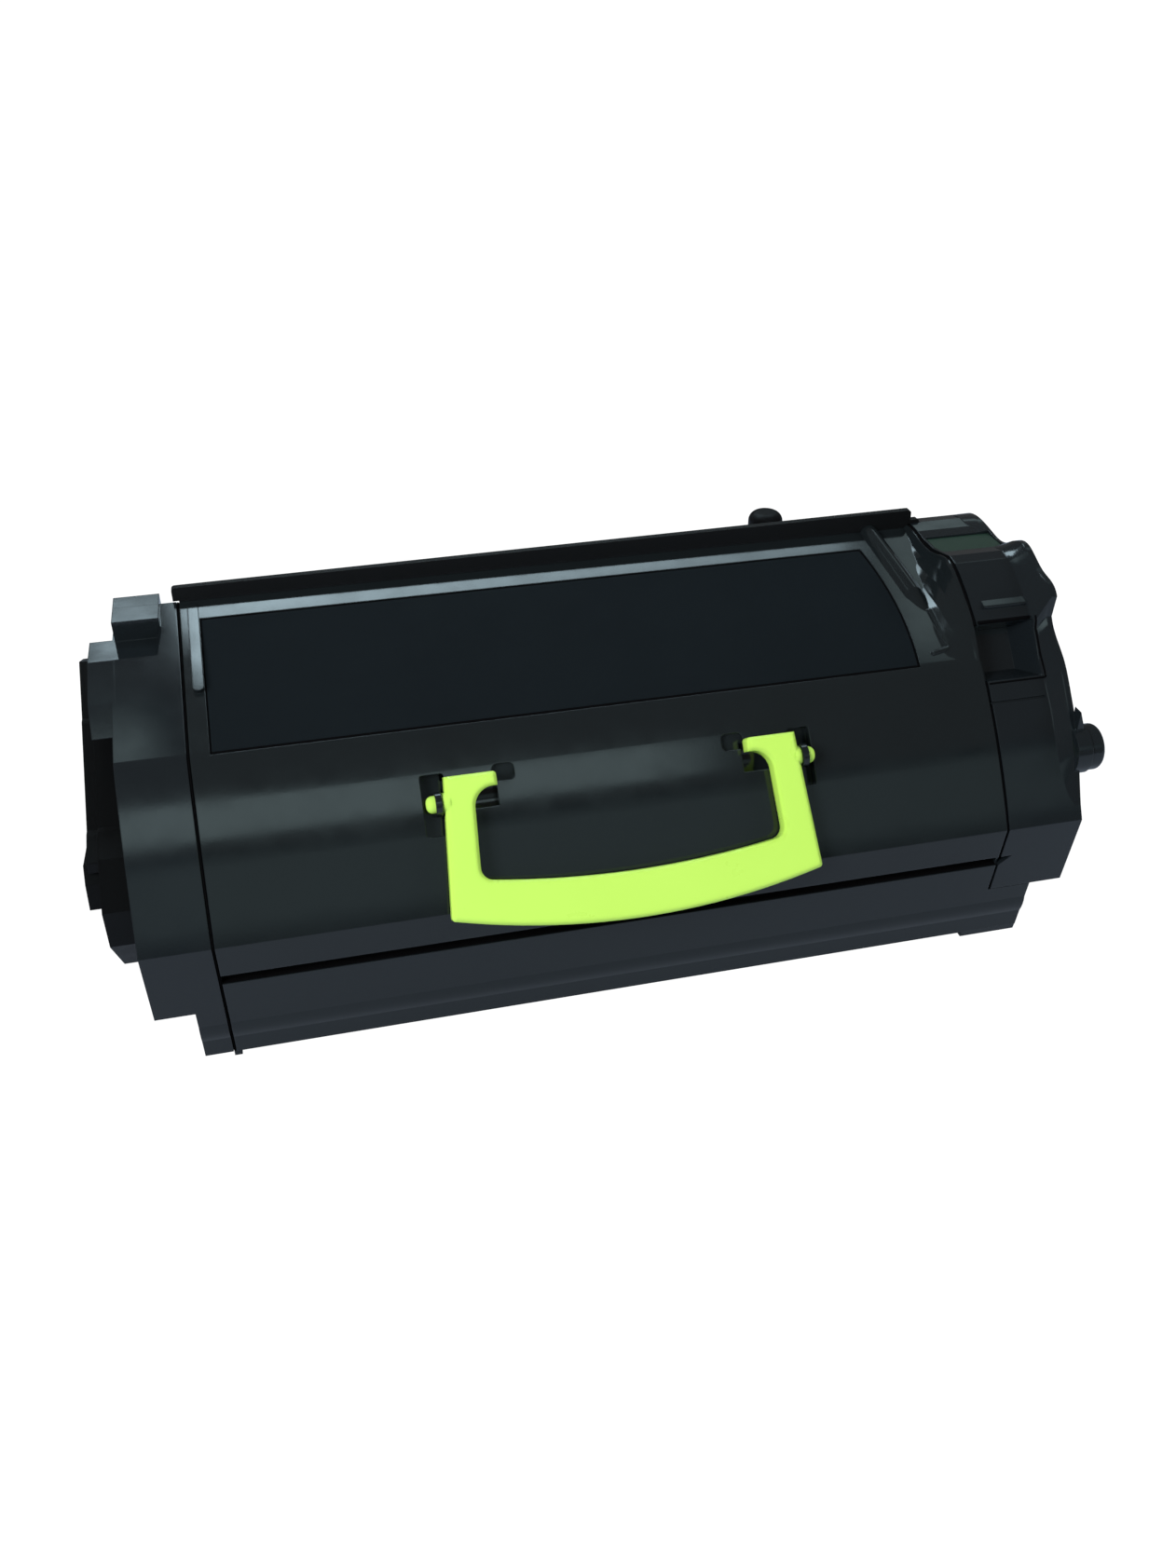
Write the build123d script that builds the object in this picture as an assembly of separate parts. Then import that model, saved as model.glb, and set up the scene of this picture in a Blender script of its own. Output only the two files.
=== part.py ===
from build123d import *
import os
from math import acos, atan2, cos, degrees, hypot, pi, radians, sin, tan

os.makedirs("parts", exist_ok=True)

# Hopper section, seen from the left end: Y runs to the back and Z up
wall = 2.5
crease_y = -58.0
crease_z = 52.5
front_lean = 9.0
front_bulge = 2.2
deck_front_y = -22.4
deck_front_z = 98.9
deck_front_round = 8.0
deck_angle = 17.25
deck_back_y = 44.0
back_y = 62.0
back_top_z = 109.0
back_turn_z = 70.0
back_rim_z = 78.0
drum_y = 2.0
drum_r = 48.0
trough_y = -39.5
trough_r = 13.0
trough_low_z = 2.5
low_seam_z = 24.0
skirt_top_z = 36.0
cover_lip_z = 39.9
groove_depth = 4.0
groove_reach = 4.0
lap_wall = 1.8
lap_height = 10.0
seat_gap = 0.1
weld_flange_out = 1.8

# Lengths along X
cover_length = 262.0
seam_gap = 1.0
rim_inset = 1.2
rim_thickness = 2.3
left_cap_length = 21.5
left_band_length = 5.0
right_cap_length = 24.0
flange_out = 3.0
tongue_length = 9.0
chute_length = 16.1
chute_back_y = -12.0
foot_out = 0.9
foot_length = 21.0

# Ribs under the drum
rib_count = 5
rib_spacing = 54.0
rib_thickness = 2.4
rib_toe = 4.0
rib_front = 50.0
rib_back = 1.5
keel_front_y = -14.0
keel_back_y = 18.0
keel_length = 252.0

# Label and its recess on the deck
label_left = -124.4
label_right = 108.7
label_bow = 3.0
label_low = 1.8
label_high = 60.0
label_thickness = 0.35
recess_depth = 0.7
recess_margin = 0.5
recess_low_margin = 1.2
margin_bar_width = 3.4
margin_bar_height = 1.6
margin_bar_start = 26.5

# Ridge near the right end; u runs along X and v up the deck
ridge_r = 3.3
ridge_middle_r = 4.0
ridge_end_r = 3.4
ridge_lift = -0.7
ridge_middle_lift = -1.5
ridge_end_lift = -3.7
ridge_top_x = 115.7
ridge_top_v = 69.0
ridge_middle_x = 120.3
ridge_middle_v = 36.0
ridge_end_x = 122.3
ridge_end_v = 25.0
thin_rib_r = 1.0
thin_rib = [(122.6, 26.0), (122.5, 16.0), (122.2, 7.4), (116.2, 6.0)]

# Shoulder that swells up to the right end cap; its crest is drawn in Y and Z
shoulder_line = [
    (50.0, 119.9),
    (44.0, 121.2),
    (37.0, 120.8),
    (31.0, 119.9),
    (24.0, 119.8),
    (17.5, 121.2),
    (11.2, 122.6),
    (6.5, 121.8),
    (2.3, 119.9),
    (-5.0, 115.6),
    (-14.1, 109.0),
    (-20.0, 102.2),
    (-23.5, 97.9),
    (-27.0, 93.5),
]
shoulder_steps = [9.0, 6.0, 3.5, 1.8, 0.7]
shoulder_far_y = 36.0
shoulder_narrow = 2.0
shoulder_wide = 12.0
shoulder_spread = 0.21
shoulder_hollow = 1.6
shoulder_root = 0.4
shoulder_edge = 0.6

# Rear rail and filler neck
rail_thickness = 2.5
rail_top_z = 124.5
rail_rise = 1.7
rail_overhang = 2.0
rail_round = 1.2
rail_hook_width = 5.0
rail_hook_height = 2.4
plug_x = 80.5
plug_y = 58.0
plug_r = 6.3
plug_top_z = 125.0
plug_round = 3.5
plug_stem_r = 4.8
plug_stem_length = 9.0
neck_r = 7.2
neck_top_z = 112.5
neck_height = 14.0
neck_taper = 4.0
neck_low_r = 4.7

# Handle and its two pockets; u runs along X, v up the slope and w out of the front
pivot_y = -41.3
pivot_z = 83.0
handle_x = 1.2
handle_top_half = 57.3
handle_low_half = 60.6
handle_slope = 54.0
handle_thickness = 5.6
handle_low_w = -2.6
handle_edge = 0.9
knuckle_length = 8.0
knuckle_hook = 7.5
knuckle_low = 3.5
arm_width = 8.8
arm_flare = 2.0
grip_inner_v = 25.0
grip_inner_bow = 4.0
grip_inner_round = 4.0
grip_outer_v = 36.5
grip_outer_bow = 7.5
corner_round = 1.2
hook_share = 0.82
boss_r = 3.3
boss_step = 1.2
pin_r = 2.75
pin_fit = 0.06
pin_length = 5.2
pin_round = 2.0
ear_thickness = 2.0
ear_r = 3.9
ear_gap = 0.4
scoop_r = 8.8
scoop_low = 2.9
scoop_gap = 0.5
tab_reach = 6.2
tab_low = 4.7
tab_high = 10.3
tab_floor = 5.4
tab_round = 1.8
slot_low = 10.0
slot_high = 9.5
slot_floor = 7.2
slot_spare = 0.7
slot_round = 0.9
pocket_wall = 1.5

# Gear train on the left end
gear_module = 1.2
pressure_angle = 25.0
tooth_addendum = 0.95
tooth_dedendum = 1.2
tooth_backlash = 0.12
gear_face = 5.0
gear_inset = 2.0
gear_rim = 3.6
web_groove = 1.5
web_holes = 6
web_hole_r = 4.2
drive_teeth = 20
upper_idler_teeth = 18
agitator_teeth = 44
lower_idler_teeth = 15
auger_teeth = 14
upper_idler_angle = 62.0
drive_angle = -30.0
idler_pin_r = 2.0
upper_pin_end = -147.0
lower_pin_end = -140.5
running_fit = 0.05
hub_r = 8.0
hub_wall = 2.2
socket_r = 5.2
socket_depth = 9.0
socket_floor = 2.0
keyways = 3
keyway_width = 2.2
keyway_depth = 1.3

# Left end cap and gear cover; outlines are drawn in Y and Z
ledge_z = 112.4
ledge_back_y = 33.5
ledge_reach = 34.0
top_block_left = -152.6
top_block_right = -137.6
top_block_z = 119.5
block_out = 7.2
flare = 2.5
flange_side = [(35.0, 98.5), (35.0, 112.4), (21.0, 112.4), (3.0, 106.8), (-4.0, 98.5)]
cover_depth = 9.5
plateau_depth = 3.5
plateau_inset = 0.8
cover_wall = 2.0
collar_r = 11.0
collar_out = 1.2
base_points = [
    (-43.2, 60.5),
    (-29.0, 70.4),
    (-18.0, 73.6),
    (-15.8, 73.6),
    (20.6, 91.9),
    (22.8, 91.9),
    (43.0, 102.6),
    (54.0, 98.0),
    (54.0, 52.0),
    (40.0, 22.0),
    (8.0, 10.0),
    (-26.0, 26.0),
    (-43.2, 47.4),
]
plateau_points = [(-29, 66), (12, 40), (60, 30), (60, 110), (-29, 110)]
left_lug = [(-30.5, 53.0), (-15.0, 51.0), (-12.0, 64.0), (-24.3, 65.8), (-28.4, 61.2)]
lug_length = 5.5

# Right end cap; outlines are drawn in Y and Z
cap_top = [
    (50.0, 119.9),
    (39.0, 121.0),
    (31.7, 119.9),
    (23.1, 119.8),
    (17.0, 121.3),
    (11.2, 122.5),
    (7.0, 121.9),
    (2.3, 119.8),
    (-5.0, 115.5),
    (-12.0, 110.6),
    (-16.0, 106.4),
]
cap_front = [
    (-17.2, 103.8),
    (-20.0, 100.6),
    (-28.0, 92.4),
    (-35.7, 83.4),
    (-44.5, 73.0),
    (-50.9, 63.4),
    (-56.3, 54.3),
]
flange_top = [
    (50.0, 120.0),
    (39.0, 121.3),
    (31.7, 120.4),
    (23.1, 120.0),
    (17.0, 122.5),
    (11.6, 125.6),
    (7.3, 126.4),
    (0.8, 124.4),
    (-6.3, 121.6),
    (-13.5, 120.1),
    (-17.0, 117.4),
]
flange_front = [
    (-16.2, 109.4),
    (-18.4, 106.6),
    (-28.5, 99.0),
    (-35.7, 91.1),
    (-44.5, 79.4),
    (-50.9, 66.8),
    (-56.3, 55.2),
]
flange_ramp = 4.0
pocket_top_y = -14.6
pocket_top_z = 108.4
pocket_low_y = -28.0
pocket_low_z = 93.6
pocket_left = 131.9
pocket_right = 152.5
pocket_depth = 9.0
pocket_slope = 5.0
hook_left = 136.0
hook_y = -7.5
hook_z = 112.2
hook_tilt = 15.0
hook_width = 6.0
hook_height = 3.0
panel_groove_y = -33.0
panel_groove_z = 88.2
panel_groove_depth = 1.2
panel_groove_width = 0.8
panel_groove_angle = 142.5
guide_pin_r = 8.0
guide_pin_y = -43.0
guide_pin_z = 72.0
guide_pin_length = 8.7
guide_pin_round = 1.6
guide_collar = 3.4
guide_step = 0.6
gusset_height = 9.0
gusset_width = 4.0

# Agitator, auger and their bearings
shaft_r = 3.0
shaft_flat = 2.3
shaft_left = -143.0
shaft_right = 145.0
bush_r = 6.0
bush_flange_r = 8.5
bush_flange = 1.5
seal_thickness = 1.8
blade_reach = 43.0
blade_thickness = 0.4
blade_angle = 115.0
arm_reach = 36.0
arm_depth = 5.0
arm_thickness = 3.0
counter_reach = 24.0
frame_arms = 4
frame_clear = 4.7
auger_r = 8.6
auger_pitch = 22.0
auger_clear = 2.0
auger_bush_r = 5.2
auger_bush_flange = 1.6
flight_thickness = 1.4
paddle_thickness = 1.6
paddle_start = 131.5
journal_r = 2.0
encoder_x = 136.0
encoder_r = 22.0
encoder_slots = 8
encoder_slot_width = 3.0
encoder_index_width = 7.0
encoder_slot_length = 9.0
encoder_thickness = 2.0
encoder_hub = 4.5
encoder_hub_r = 6.0

# Exit port and shutter under the right end
port_x = 7.2
port_length = 7.6
port_width = 8.0
shutter_half = 6.9
shutter_thickness = 1.65
shutter_travel = 13.0
shutter_length = 17.0
shutter_fit = 0.15
shutter_rib = 3.0
shutter_rib_z = 0.4
slit_half = 5.4
channel_before = 8.9
channel_spare = 0.6
channel_height = 1.9
channel_low = 1.4
seal_half = 6.2
seal_height = 0.8

# Chip board and screws
chip_left = 133.0
chip_front_y = 17.5
chip_z = 118.5
chip_width = 24.9
chip_depth = 15.0
chip_thickness = 1.0
chip_fit = 0.2
screw_r = 1.4
screw_head_r = 2.9
screw_head = 1.8
screw_length = 9.0
screw_seat = 4.0
screw_cross = 3.2
screw_cross_width = 0.7
screw_cross_depth = 0.9
boss_wall = 1.4
cover_screws = [(-20.0, 60.0), (46.0, 92.0), (10.0, 16.5)]
cap_screws = [(40.0, 100.0), (-46.0, 60.0), (34.0, 26.0)]

# Derived sizes, places and directions
half = cover_length / 2
drum_z = drum_r
trough_z = trough_low_z + trough_r
left_face = -half - seam_gap
right_face = half + seam_gap
left_end = left_face - left_cap_length
right_end = right_face + right_cap_length
flange_end = right_end + flange_out
tongue_end = left_face - tongue_length
chute_end = half + chute_length
gear_x = -half - gear_inset
gear_left = gear_x - gear_face
frame_half = half - wall - seal_thickness - frame_clear
channel_front_y = trough_y - channel_before
channel_back_y = channel_front_y + shutter_length + shutter_travel + channel_spare
arm_top_half = handle_top_half - arm_width
arm_low_half = handle_low_half - arm_width - arm_flare
knuckle_inner_half = arm_top_half - knuckle_hook
scoop_inner = knuckle_inner_half - scoop_gap
scoop_outer = handle_top_half + scoop_gap
ear_middle = handle_top_half + boss_step + ear_gap + ear_thickness / 2
slot_outer = handle_top_half + boss_step + pin_length + slot_spare
handle_plane = Plane(
    origin=(handle_x, pivot_y, pivot_z),
    x_dir=(1, 0, 0),
    z_dir=(0, -sin(radians(handle_slope)), cos(radians(handle_slope))),
)
deck_plane = Plane(
    origin=(0, deck_front_y, deck_front_z),
    x_dir=(1, 0, 0),
    z_dir=(0, -sin(radians(deck_angle)), cos(radians(deck_angle))),
)
pocket_plane = Plane(
    origin=(0, (pocket_top_y + pocket_low_y) / 2, (pocket_top_z + pocket_low_z) / 2),
    x_dir=(1, 0, 0),
    z_dir=(0, pocket_low_z - pocket_top_z, pocket_top_y - pocket_low_y),
)
pocket_height = hypot(pocket_top_y - pocket_low_y, pocket_top_z - pocket_low_z)


def front_y(z):
    """Y of the leaning front face at height z."""
    return crease_y + (crease_z - z) * tan(radians(front_lean))


def deck_z(y):
    """Height of the sloping deck at y."""
    return deck_front_z + (y - deck_front_y) * tan(radians(deck_angle))


def along(section, x_from, x_to):
    """A section drawn in Y and Z, extruded between two places along the length."""
    return Pos(x_from, 0, 0) * extrude(Plane.YZ * section, amount=x_to - x_from)


def window(y_from, y_to, z_from, z_to):
    """A rectangle in the section."""
    return Pos((y_from + y_to) / 2, (z_from + z_to) / 2) * Rectangle(y_to - y_from, z_to - z_from)


def block(x_from, x_to, y_from, y_to, z_from, z_to):
    """A box between two corners."""
    return along(window(y_from, y_to, z_from, z_to), x_from, x_to)


def rod(radius, y, z, x_from, x_to):
    """A cylinder along X."""
    return along(Pos(y, z) * Circle(radius), x_from, x_to)


def drum_tangent():
    """Where the back wall runs into the round drum."""
    dy = back_y - drum_y
    dz = back_turn_z - drum_z
    turn = atan2(dz, dy) - acos(drum_r / hypot(dy, dz))
    return (drum_y + drum_r * cos(turn), drum_z + drum_r * sin(turn))


def shifted(points, inset):
    """An open run of outline points, clockwise, moved inwards by one distance."""
    lines = []
    for a, b in zip(points, points[1:]):
        run = (b - a).normalized()
        step = Vector(run.Y, -run.X) * inset
        lines.append((a + step, run))
    moved = [lines[0][0]]
    for (a, along_a), (b, along_b) in zip(lines, lines[1:]):
        gap = b - a
        turn = along_a.X * along_b.Y - along_a.Y * along_b.X
        moved.append(a + along_a * ((gap.X * along_b.Y - gap.Y * along_b.X) / turn))
    end, run = lines[-1]
    moved.append(end + run * (points[-1] - points[-2]).length)
    return moved


def hopper_region(inset=0.0):
    """The hopper in section: leaning front, swelling upper front, deck, back and round drum."""
    crease = Vector(crease_y, crease_z)
    deck_front = Vector(deck_front_y, deck_front_z)
    chord = deck_front - crease
    outward = Vector(-chord.Y, chord.X).normalized()
    swell_r = (chord.length**2 / 4 + front_bulge**2) / (2 * front_bulge)
    swell_centre = (crease + deck_front) / 2 - outward * (swell_r - front_bulge)
    lean = tan(radians(front_lean))
    rise = tan(radians(deck_angle))
    far_z = (deck_front_z + (crease_y - deck_front_y + crease_z * lean) * rise) / (1 + lean * rise)
    outline = [
        Vector(trough_y, trough_low_z),
        Vector(front_y(trough_low_z), trough_low_z),
        Vector(front_y(far_z), far_z),
        Vector(deck_back_y, deck_z(deck_back_y)),
        Vector(back_y, back_top_z),
        Vector(back_y, back_turn_z),
        Vector(*drum_tangent()),
    ]
    points = [(p.X, p.Y) for p in reversed(shifted(outline, inset))]
    face = Polygon(*points, (trough_y, trough_z), (drum_y, drum_z), align=None)
    face = face & Pos(swell_centre.X, swell_centre.Y) * Circle(swell_r - inset)
    face = face + Pos(drum_y, drum_z) * Circle(drum_r - inset)
    face = face + Pos(trough_y, trough_z) * Circle(trough_r - inset)
    corner = face.vertices().sort_by_distance(deck_front)[0]
    return fillet(corner, deck_front_round - inset)


skin = hopper_region()
inner = hopper_region(wall)
fitted = hopper_region(wall + seat_gap)
lap_inner = hopper_region(wall + seat_gap + lap_wall)
shell = skin - inner


def rounded_bar(a, b, radius):
    """A round bar with ball ends between two points."""
    run = Vector(*b) - Vector(*a)
    bar = Plane(origin=a, z_dir=run) * Cylinder(radius, run.length, align=(Align.CENTER, Align.CENTER, Align.MIN))
    return bar + Pos(*a) * Sphere(radius) + Pos(*b) * Sphere(radius)


def tapered_bar(a, b, radius_a, radius_b):
    """A round bar with ball ends whose radius changes from one end to the other."""
    run = Vector(*b) - Vector(*a)
    cone = Cone(radius_a, radius_b, run.length, align=(Align.CENTER, Align.CENTER, Align.MIN))
    return Plane(origin=a, z_dir=run) * cone + Pos(*a) * Sphere(radius_a) + Pos(*b) * Sphere(radius_b)


def ring(outer_r, inner_r, y, z, x_from, x_to):
    """A plain ring round an axis along X."""
    return along(Pos(y, z) * (Circle(outer_r) - Circle(inner_r)), x_from, x_to)


def round_pin(radius, end_round, y, z, x_from, x_to):
    """A cylinder along X whose far end is rounded over."""
    pin = rod(radius, y, z, min(x_from, x_to), max(x_from, x_to))
    far_edge = pin.edges().filter_by(GeomType.CIRCLE).sort_by_distance((x_to, y, z))[0]
    return fillet(far_edge, end_round)


# Gear positions
def mesh_distance(teeth_a, teeth_b):
    """Distance between the axes of two meshing gears."""
    return gear_module * (teeth_a + teeth_b) / 2


def polar(y, z, distance, angle):
    """The place at a distance and an angle from another."""
    return (y + distance * cos(radians(angle)), z + distance * sin(radians(angle)))


upper_idler = polar(drum_y, drum_z, mesh_distance(agitator_teeth, upper_idler_teeth), upper_idler_angle)
drive = polar(*upper_idler, mesh_distance(upper_idler_teeth, drive_teeth), drive_angle)
auger_run = hypot(trough_y - drum_y, trough_z - drum_z)
auger_angle = degrees(atan2(trough_z - drum_z, trough_y - drum_y))
idler_far = mesh_distance(agitator_teeth, lower_idler_teeth)
idler_near = mesh_distance(lower_idler_teeth, auger_teeth)
idler_bend = degrees(acos((auger_run**2 + idler_far**2 - idler_near**2) / (2 * auger_run * idler_far)))
lower_idler = polar(drum_y, drum_z, idler_far, auger_angle + idler_bend)


# Hopper tub
def skirt_window():
    """The part of the section that the tub fills: skirt and trough in front, drum, and back below the rim."""
    return window(-80, -30, -1, skirt_top_z) + window(-30, 80, -1, back_rim_z)


def lap():
    """The lap inside the cover's front edge, with the sill that carries it."""
    wall_part = (fitted - lap_inner) & window(-80, -40, skirt_top_z - wall, cover_lip_z + lap_height)
    sill = (skin - lap_inner) & window(-80, -40, skirt_top_z - wall, skirt_top_z)
    return wall_part + sill


def rim_flange(z_from):
    """Half of the welded flange along the back."""
    return window(back_y - wall, back_y + weld_flange_out, z_from, z_from + wall)


def rim_window():
    """The part of the section where an end wall's rim meets its cap."""
    return window(-80, chute_back_y, low_seam_z, 140) + window(chute_back_y, 80, -1, 140)


def cradle_rib():
    """One foot rib under the back of the drum."""
    outline = Polygon(
        (keel_back_y - 1, 0),
        (rib_front, 0),
        (rib_front + rib_toe, rib_toe),
        (back_y - rib_back, back_turn_z - 12),
        (back_y - rib_back, back_turn_z + 2),
        (drum_y + 30, drum_z),
        align=None,
    )
    return outline - skin


def exit_chute():
    """The auger tunnel beyond the right wall, with the port and the shutter's channel under it."""
    low = trough_z - trough_r + wall
    body = skin & window(-80, trough_y + trough_r, 0, low_seam_z - seat_gap)
    body += Pos(trough_y, trough_z) * Circle(trough_r)
    upper = fitted & window(-80, trough_y + trough_r, low_seam_z - 1, trough_z + trough_r + 4)
    floor = Polygon(
        (front_y(0) + 0.3, 0), (channel_back_y, 0), (channel_back_y, low), (front_y(low), low), align=None
    )
    chute = along(body + upper, half, chute_end) + along(floor, chute_end - foot_length, chute_end)
    chute -= rod(trough_r - wall, trough_y, trough_z, half - wall - 1, chute_end - wall)
    chute -= rod(journal_r + running_fit, trough_y, trough_z, chute_end - wall - 1, chute_end - 0.8)
    x_mid = half + port_x
    chute -= block(x_mid - port_length / 2, x_mid + port_length / 2,
                   trough_y - port_width / 2, trough_y + port_width / 2, -1, trough_z)
    chute -= block(x_mid - shutter_half, x_mid + shutter_half, channel_front_y, channel_back_y + 1,
                   channel_low, channel_low + channel_height)
    chute -= block(x_mid - slit_half, x_mid + slit_half, channel_front_y, channel_back_y + 1, -1, channel_low + 1)
    chute -= block(x_mid - seal_half, x_mid + seal_half, trough_y - seal_half, trough_y + seal_half,
                   channel_low, channel_low + channel_height + seal_height)
    return chute


def hopper_tub():
    """The lower moulding that holds the toner, with end walls, laps, ribs, feet and the exit chute."""
    section = (shell & skirt_window()) + lap() + rim_flange(back_rim_z - wall)
    tub = along(section, -half, half)
    end_wall = fitted + (skin & skirt_window())
    for x in (-half, half - wall):
        tub += along(end_wall, x, x + wall)
    rim = hopper_region(rim_inset) - hopper_region(rim_inset + rim_thickness)
    tub += along(rim & rim_window(), -half - seam_gap, -half)
    tub += along(rim & rim_window(), half, half + seam_gap)
    keel = window(keel_front_y, keel_back_y, 0, drum_r / 4) - inner
    tub += along(keel, -keel_length / 2, keel_length / 2)
    for i in range(rib_count):
        x = (i - (rib_count - 1) / 2) * rib_spacing
        tub += along(cradle_rib(), x - rib_thickness / 2, x + rib_thickness / 2)
    tub += exit_chute()
    tub -= rod(trough_r - wall, trough_y, trough_z, half - wall - 1, half + 1)
    tub += block(-half - foot_out, -half + 1.6, front_y(0) + 0.4, front_y(0) + 8, 0, trough_low_z + 1)
    for y, z in (upper_idler, lower_idler):
        tub += rod(idler_pin_r + 2, y, z, gear_x + 0.2, -half)
        tub += rod(idler_pin_r + 2, y, z, -half + wall - 0.5, -half + wall + 2)
        tub -= rod(idler_pin_r, y, z, gear_x, -half + wall + 0.8)
    tub += rod(shaft_r + 2, *drive, gear_x + 0.2, -half + wall + 3)
    tub -= rod(shaft_r + running_fit, *drive, gear_x, -half + wall + 1.5)
    for y, z in cap_screws:
        tub += rod(screw_r + 1.6, y, z, -half, -half + wall + 2.5)
        tub += rod(screw_r + 1.6, y, z, half - wall - 2.5, half)
        tub -= rod(screw_r, y, z, -half - 1, -half + wall + 1)
        tub -= rod(screw_r, y, z, half - wall - 1, half + 1)
    tub -= rod(bush_r, drum_y, drum_z, -half - 1, half + 1)
    tub -= rod(auger_bush_r, trough_y, trough_z, -half - 1, -half + wall + 1)
    return tub


# Top cover
def label_outline(margin, low_margin):
    """The label seen square on, with its right edge bowed outwards."""
    left = label_left - margin
    right = label_right + margin
    low = label_low - low_margin
    high = label_high + margin
    middle = (low + high) / 2
    sides = Polyline((right, high), (left, high), (left, low), (right, low))
    return make_face(sides + ThreePointArc((right, low), (right + label_bow, middle), (right, high)))


def on_deck(sketch, depth, height):
    """A sketch on the deck, extruded from a depth under it to a height over it."""
    return extrude(deck_plane.offset(-depth) * sketch, amount=depth + height)


def deck_point(u, v, lift):
    """A place on the deck: u along X, v up the slope."""
    p = deck_plane.from_local_coords(Vector(u, v, lift))
    return (p.X, p.Y, p.Z)


def front_line(y):
    """Height of the straight line behind the swelling upper front at y."""
    return crease_z + (y - crease_y) * (deck_front_z - crease_z) / (deck_front_y - crease_y)


def shoulder_section(x, drop=0.0):
    """The shoulder in section at x: it rises from the deck along a diagonal towards the seam."""
    top = []
    for y, z in shoulder_line[1:]:
        floor = min(deck_z(y), front_line(y)) - shoulder_root
        width = min(max(shoulder_narrow + (shoulder_far_y - y) * shoulder_spread, shoulder_narrow), shoulder_wide)
        share = max(0.0, (x - half + width) / width)
        top.append((y, floor + (z - drop - floor) * share**shoulder_hollow))
    last_y, last_z = top[-1]
    base = Polyline(top[-1], (last_y + 6, last_z - 8), (deck_back_y, deck_z(deck_back_y) - 7), top[0])
    return Pos(x, 0, 0) * (Plane.YZ * make_face(Spline(*top) + base))


def right_shoulder():
    """The surface that swells from the deck up to the right end cap, with a rounded edge at the seam."""
    sections = [shoulder_section(half - step) for step in [shoulder_wide + 0.5, *shoulder_steps]]
    sections.append(shoulder_section(half, shoulder_edge))
    swell = loft(sections, ruled=True)
    return swell - along(inner, half - shoulder_wide - 2, half + 1)


def deck_ridge():
    """The round ridge that runs from the rail down to the front, with a thin bent rib at its foot."""
    top = deck_point(ridge_top_x, ridge_top_v, ridge_lift)
    middle = deck_point(ridge_middle_x, ridge_middle_v, ridge_middle_lift)
    end = deck_point(ridge_end_x, ridge_end_v, ridge_end_lift)
    ridge = tapered_bar(top, middle, ridge_r, ridge_middle_r)
    ridge += tapered_bar(middle, end, ridge_middle_r, ridge_end_r)
    rib = [deck_point(u, v, -0.1) for u, v in thin_rib]
    for a, b in zip(rib, rib[1:]):
        ridge += rounded_bar(a, b, thin_rib_r)
    return ridge - along(inner, 0, half)


def handle_slab(side, u_from, u_to, v_from, v_to, w_from, w_to, corner=0.0):
    """A block in the handle's own directions, on one side of its middle."""
    u_mid = side * (u_from + u_to) / 2
    shape = Rectangle(u_to - u_from, v_to - v_from)
    if corner:
        shape = RectangleRounded(u_to - u_from, v_to - v_from, corner)
    return extrude(handle_plane.offset(w_from) * Pos(u_mid, (v_from + v_to) / 2) * shape, amount=w_to - w_from)


def scoop(side, margin=0.0):
    """The round hollow in which an arm's hook swings."""
    a, b = sorted((handle_x + side * (scoop_inner - margin), handle_x + side * (scoop_outer + margin)))
    hollow = rod(scoop_r + margin, pivot_y, pivot_z, a, b)
    return hollow & handle_slab(side, 0, 100, -scoop_low - margin, 30, -30, 30)


def handle_pocket(side):
    """The three hollows of one pocket: scoop, shallow tab recess and the slot for the pin."""
    tab = handle_slab(side, scoop_inner - tab_reach, scoop_inner + 1, tab_low, tab_high, -tab_floor, 12, tab_round)
    slot = handle_slab(side, scoop_outer - 1, slot_outer, -slot_low, slot_high, -slot_floor, 12, slot_round)
    return scoop(side) + tab + slot


def pocket_backing(side):
    """The walls behind one pocket."""
    m = pocket_wall
    tab = handle_slab(side, scoop_inner - tab_reach - m, scoop_inner, tab_low - m, tab_high + m, -tab_floor - m, 6)
    slot = handle_slab(side, scoop_outer, slot_outer + m, -slot_low - m, slot_high + m, -slot_floor - m, 6)
    return (scoop(side, m) + tab + slot) & along(skin, -half, half)


def pin_ear(side):
    """The ear in which one handle pin turns."""
    x = handle_x + side * ear_middle
    stem = Rotation(0, 0, handle_slope - 90) * Pos(slot_floor / 2, 0) * Rectangle(slot_floor, 2 * ear_r)
    ear = Pos(pivot_y, pivot_z) * (Circle(ear_r) + stem)
    return along(ear, x - ear_thickness / 2, x + ear_thickness / 2)


def handle_pockets(cover):
    """The pockets for the handle's knuckles, each with a bearing ear for the pin."""
    for side in (-1, 1):
        cover += pocket_backing(side)
        cover -= handle_pocket(side)
        cover += pin_ear(side)
        x = handle_x + side * ear_middle
        cover -= rod(pin_r + pin_fit, pivot_y, pivot_z, x - ear_thickness, x + ear_thickness)
    return cover


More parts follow.
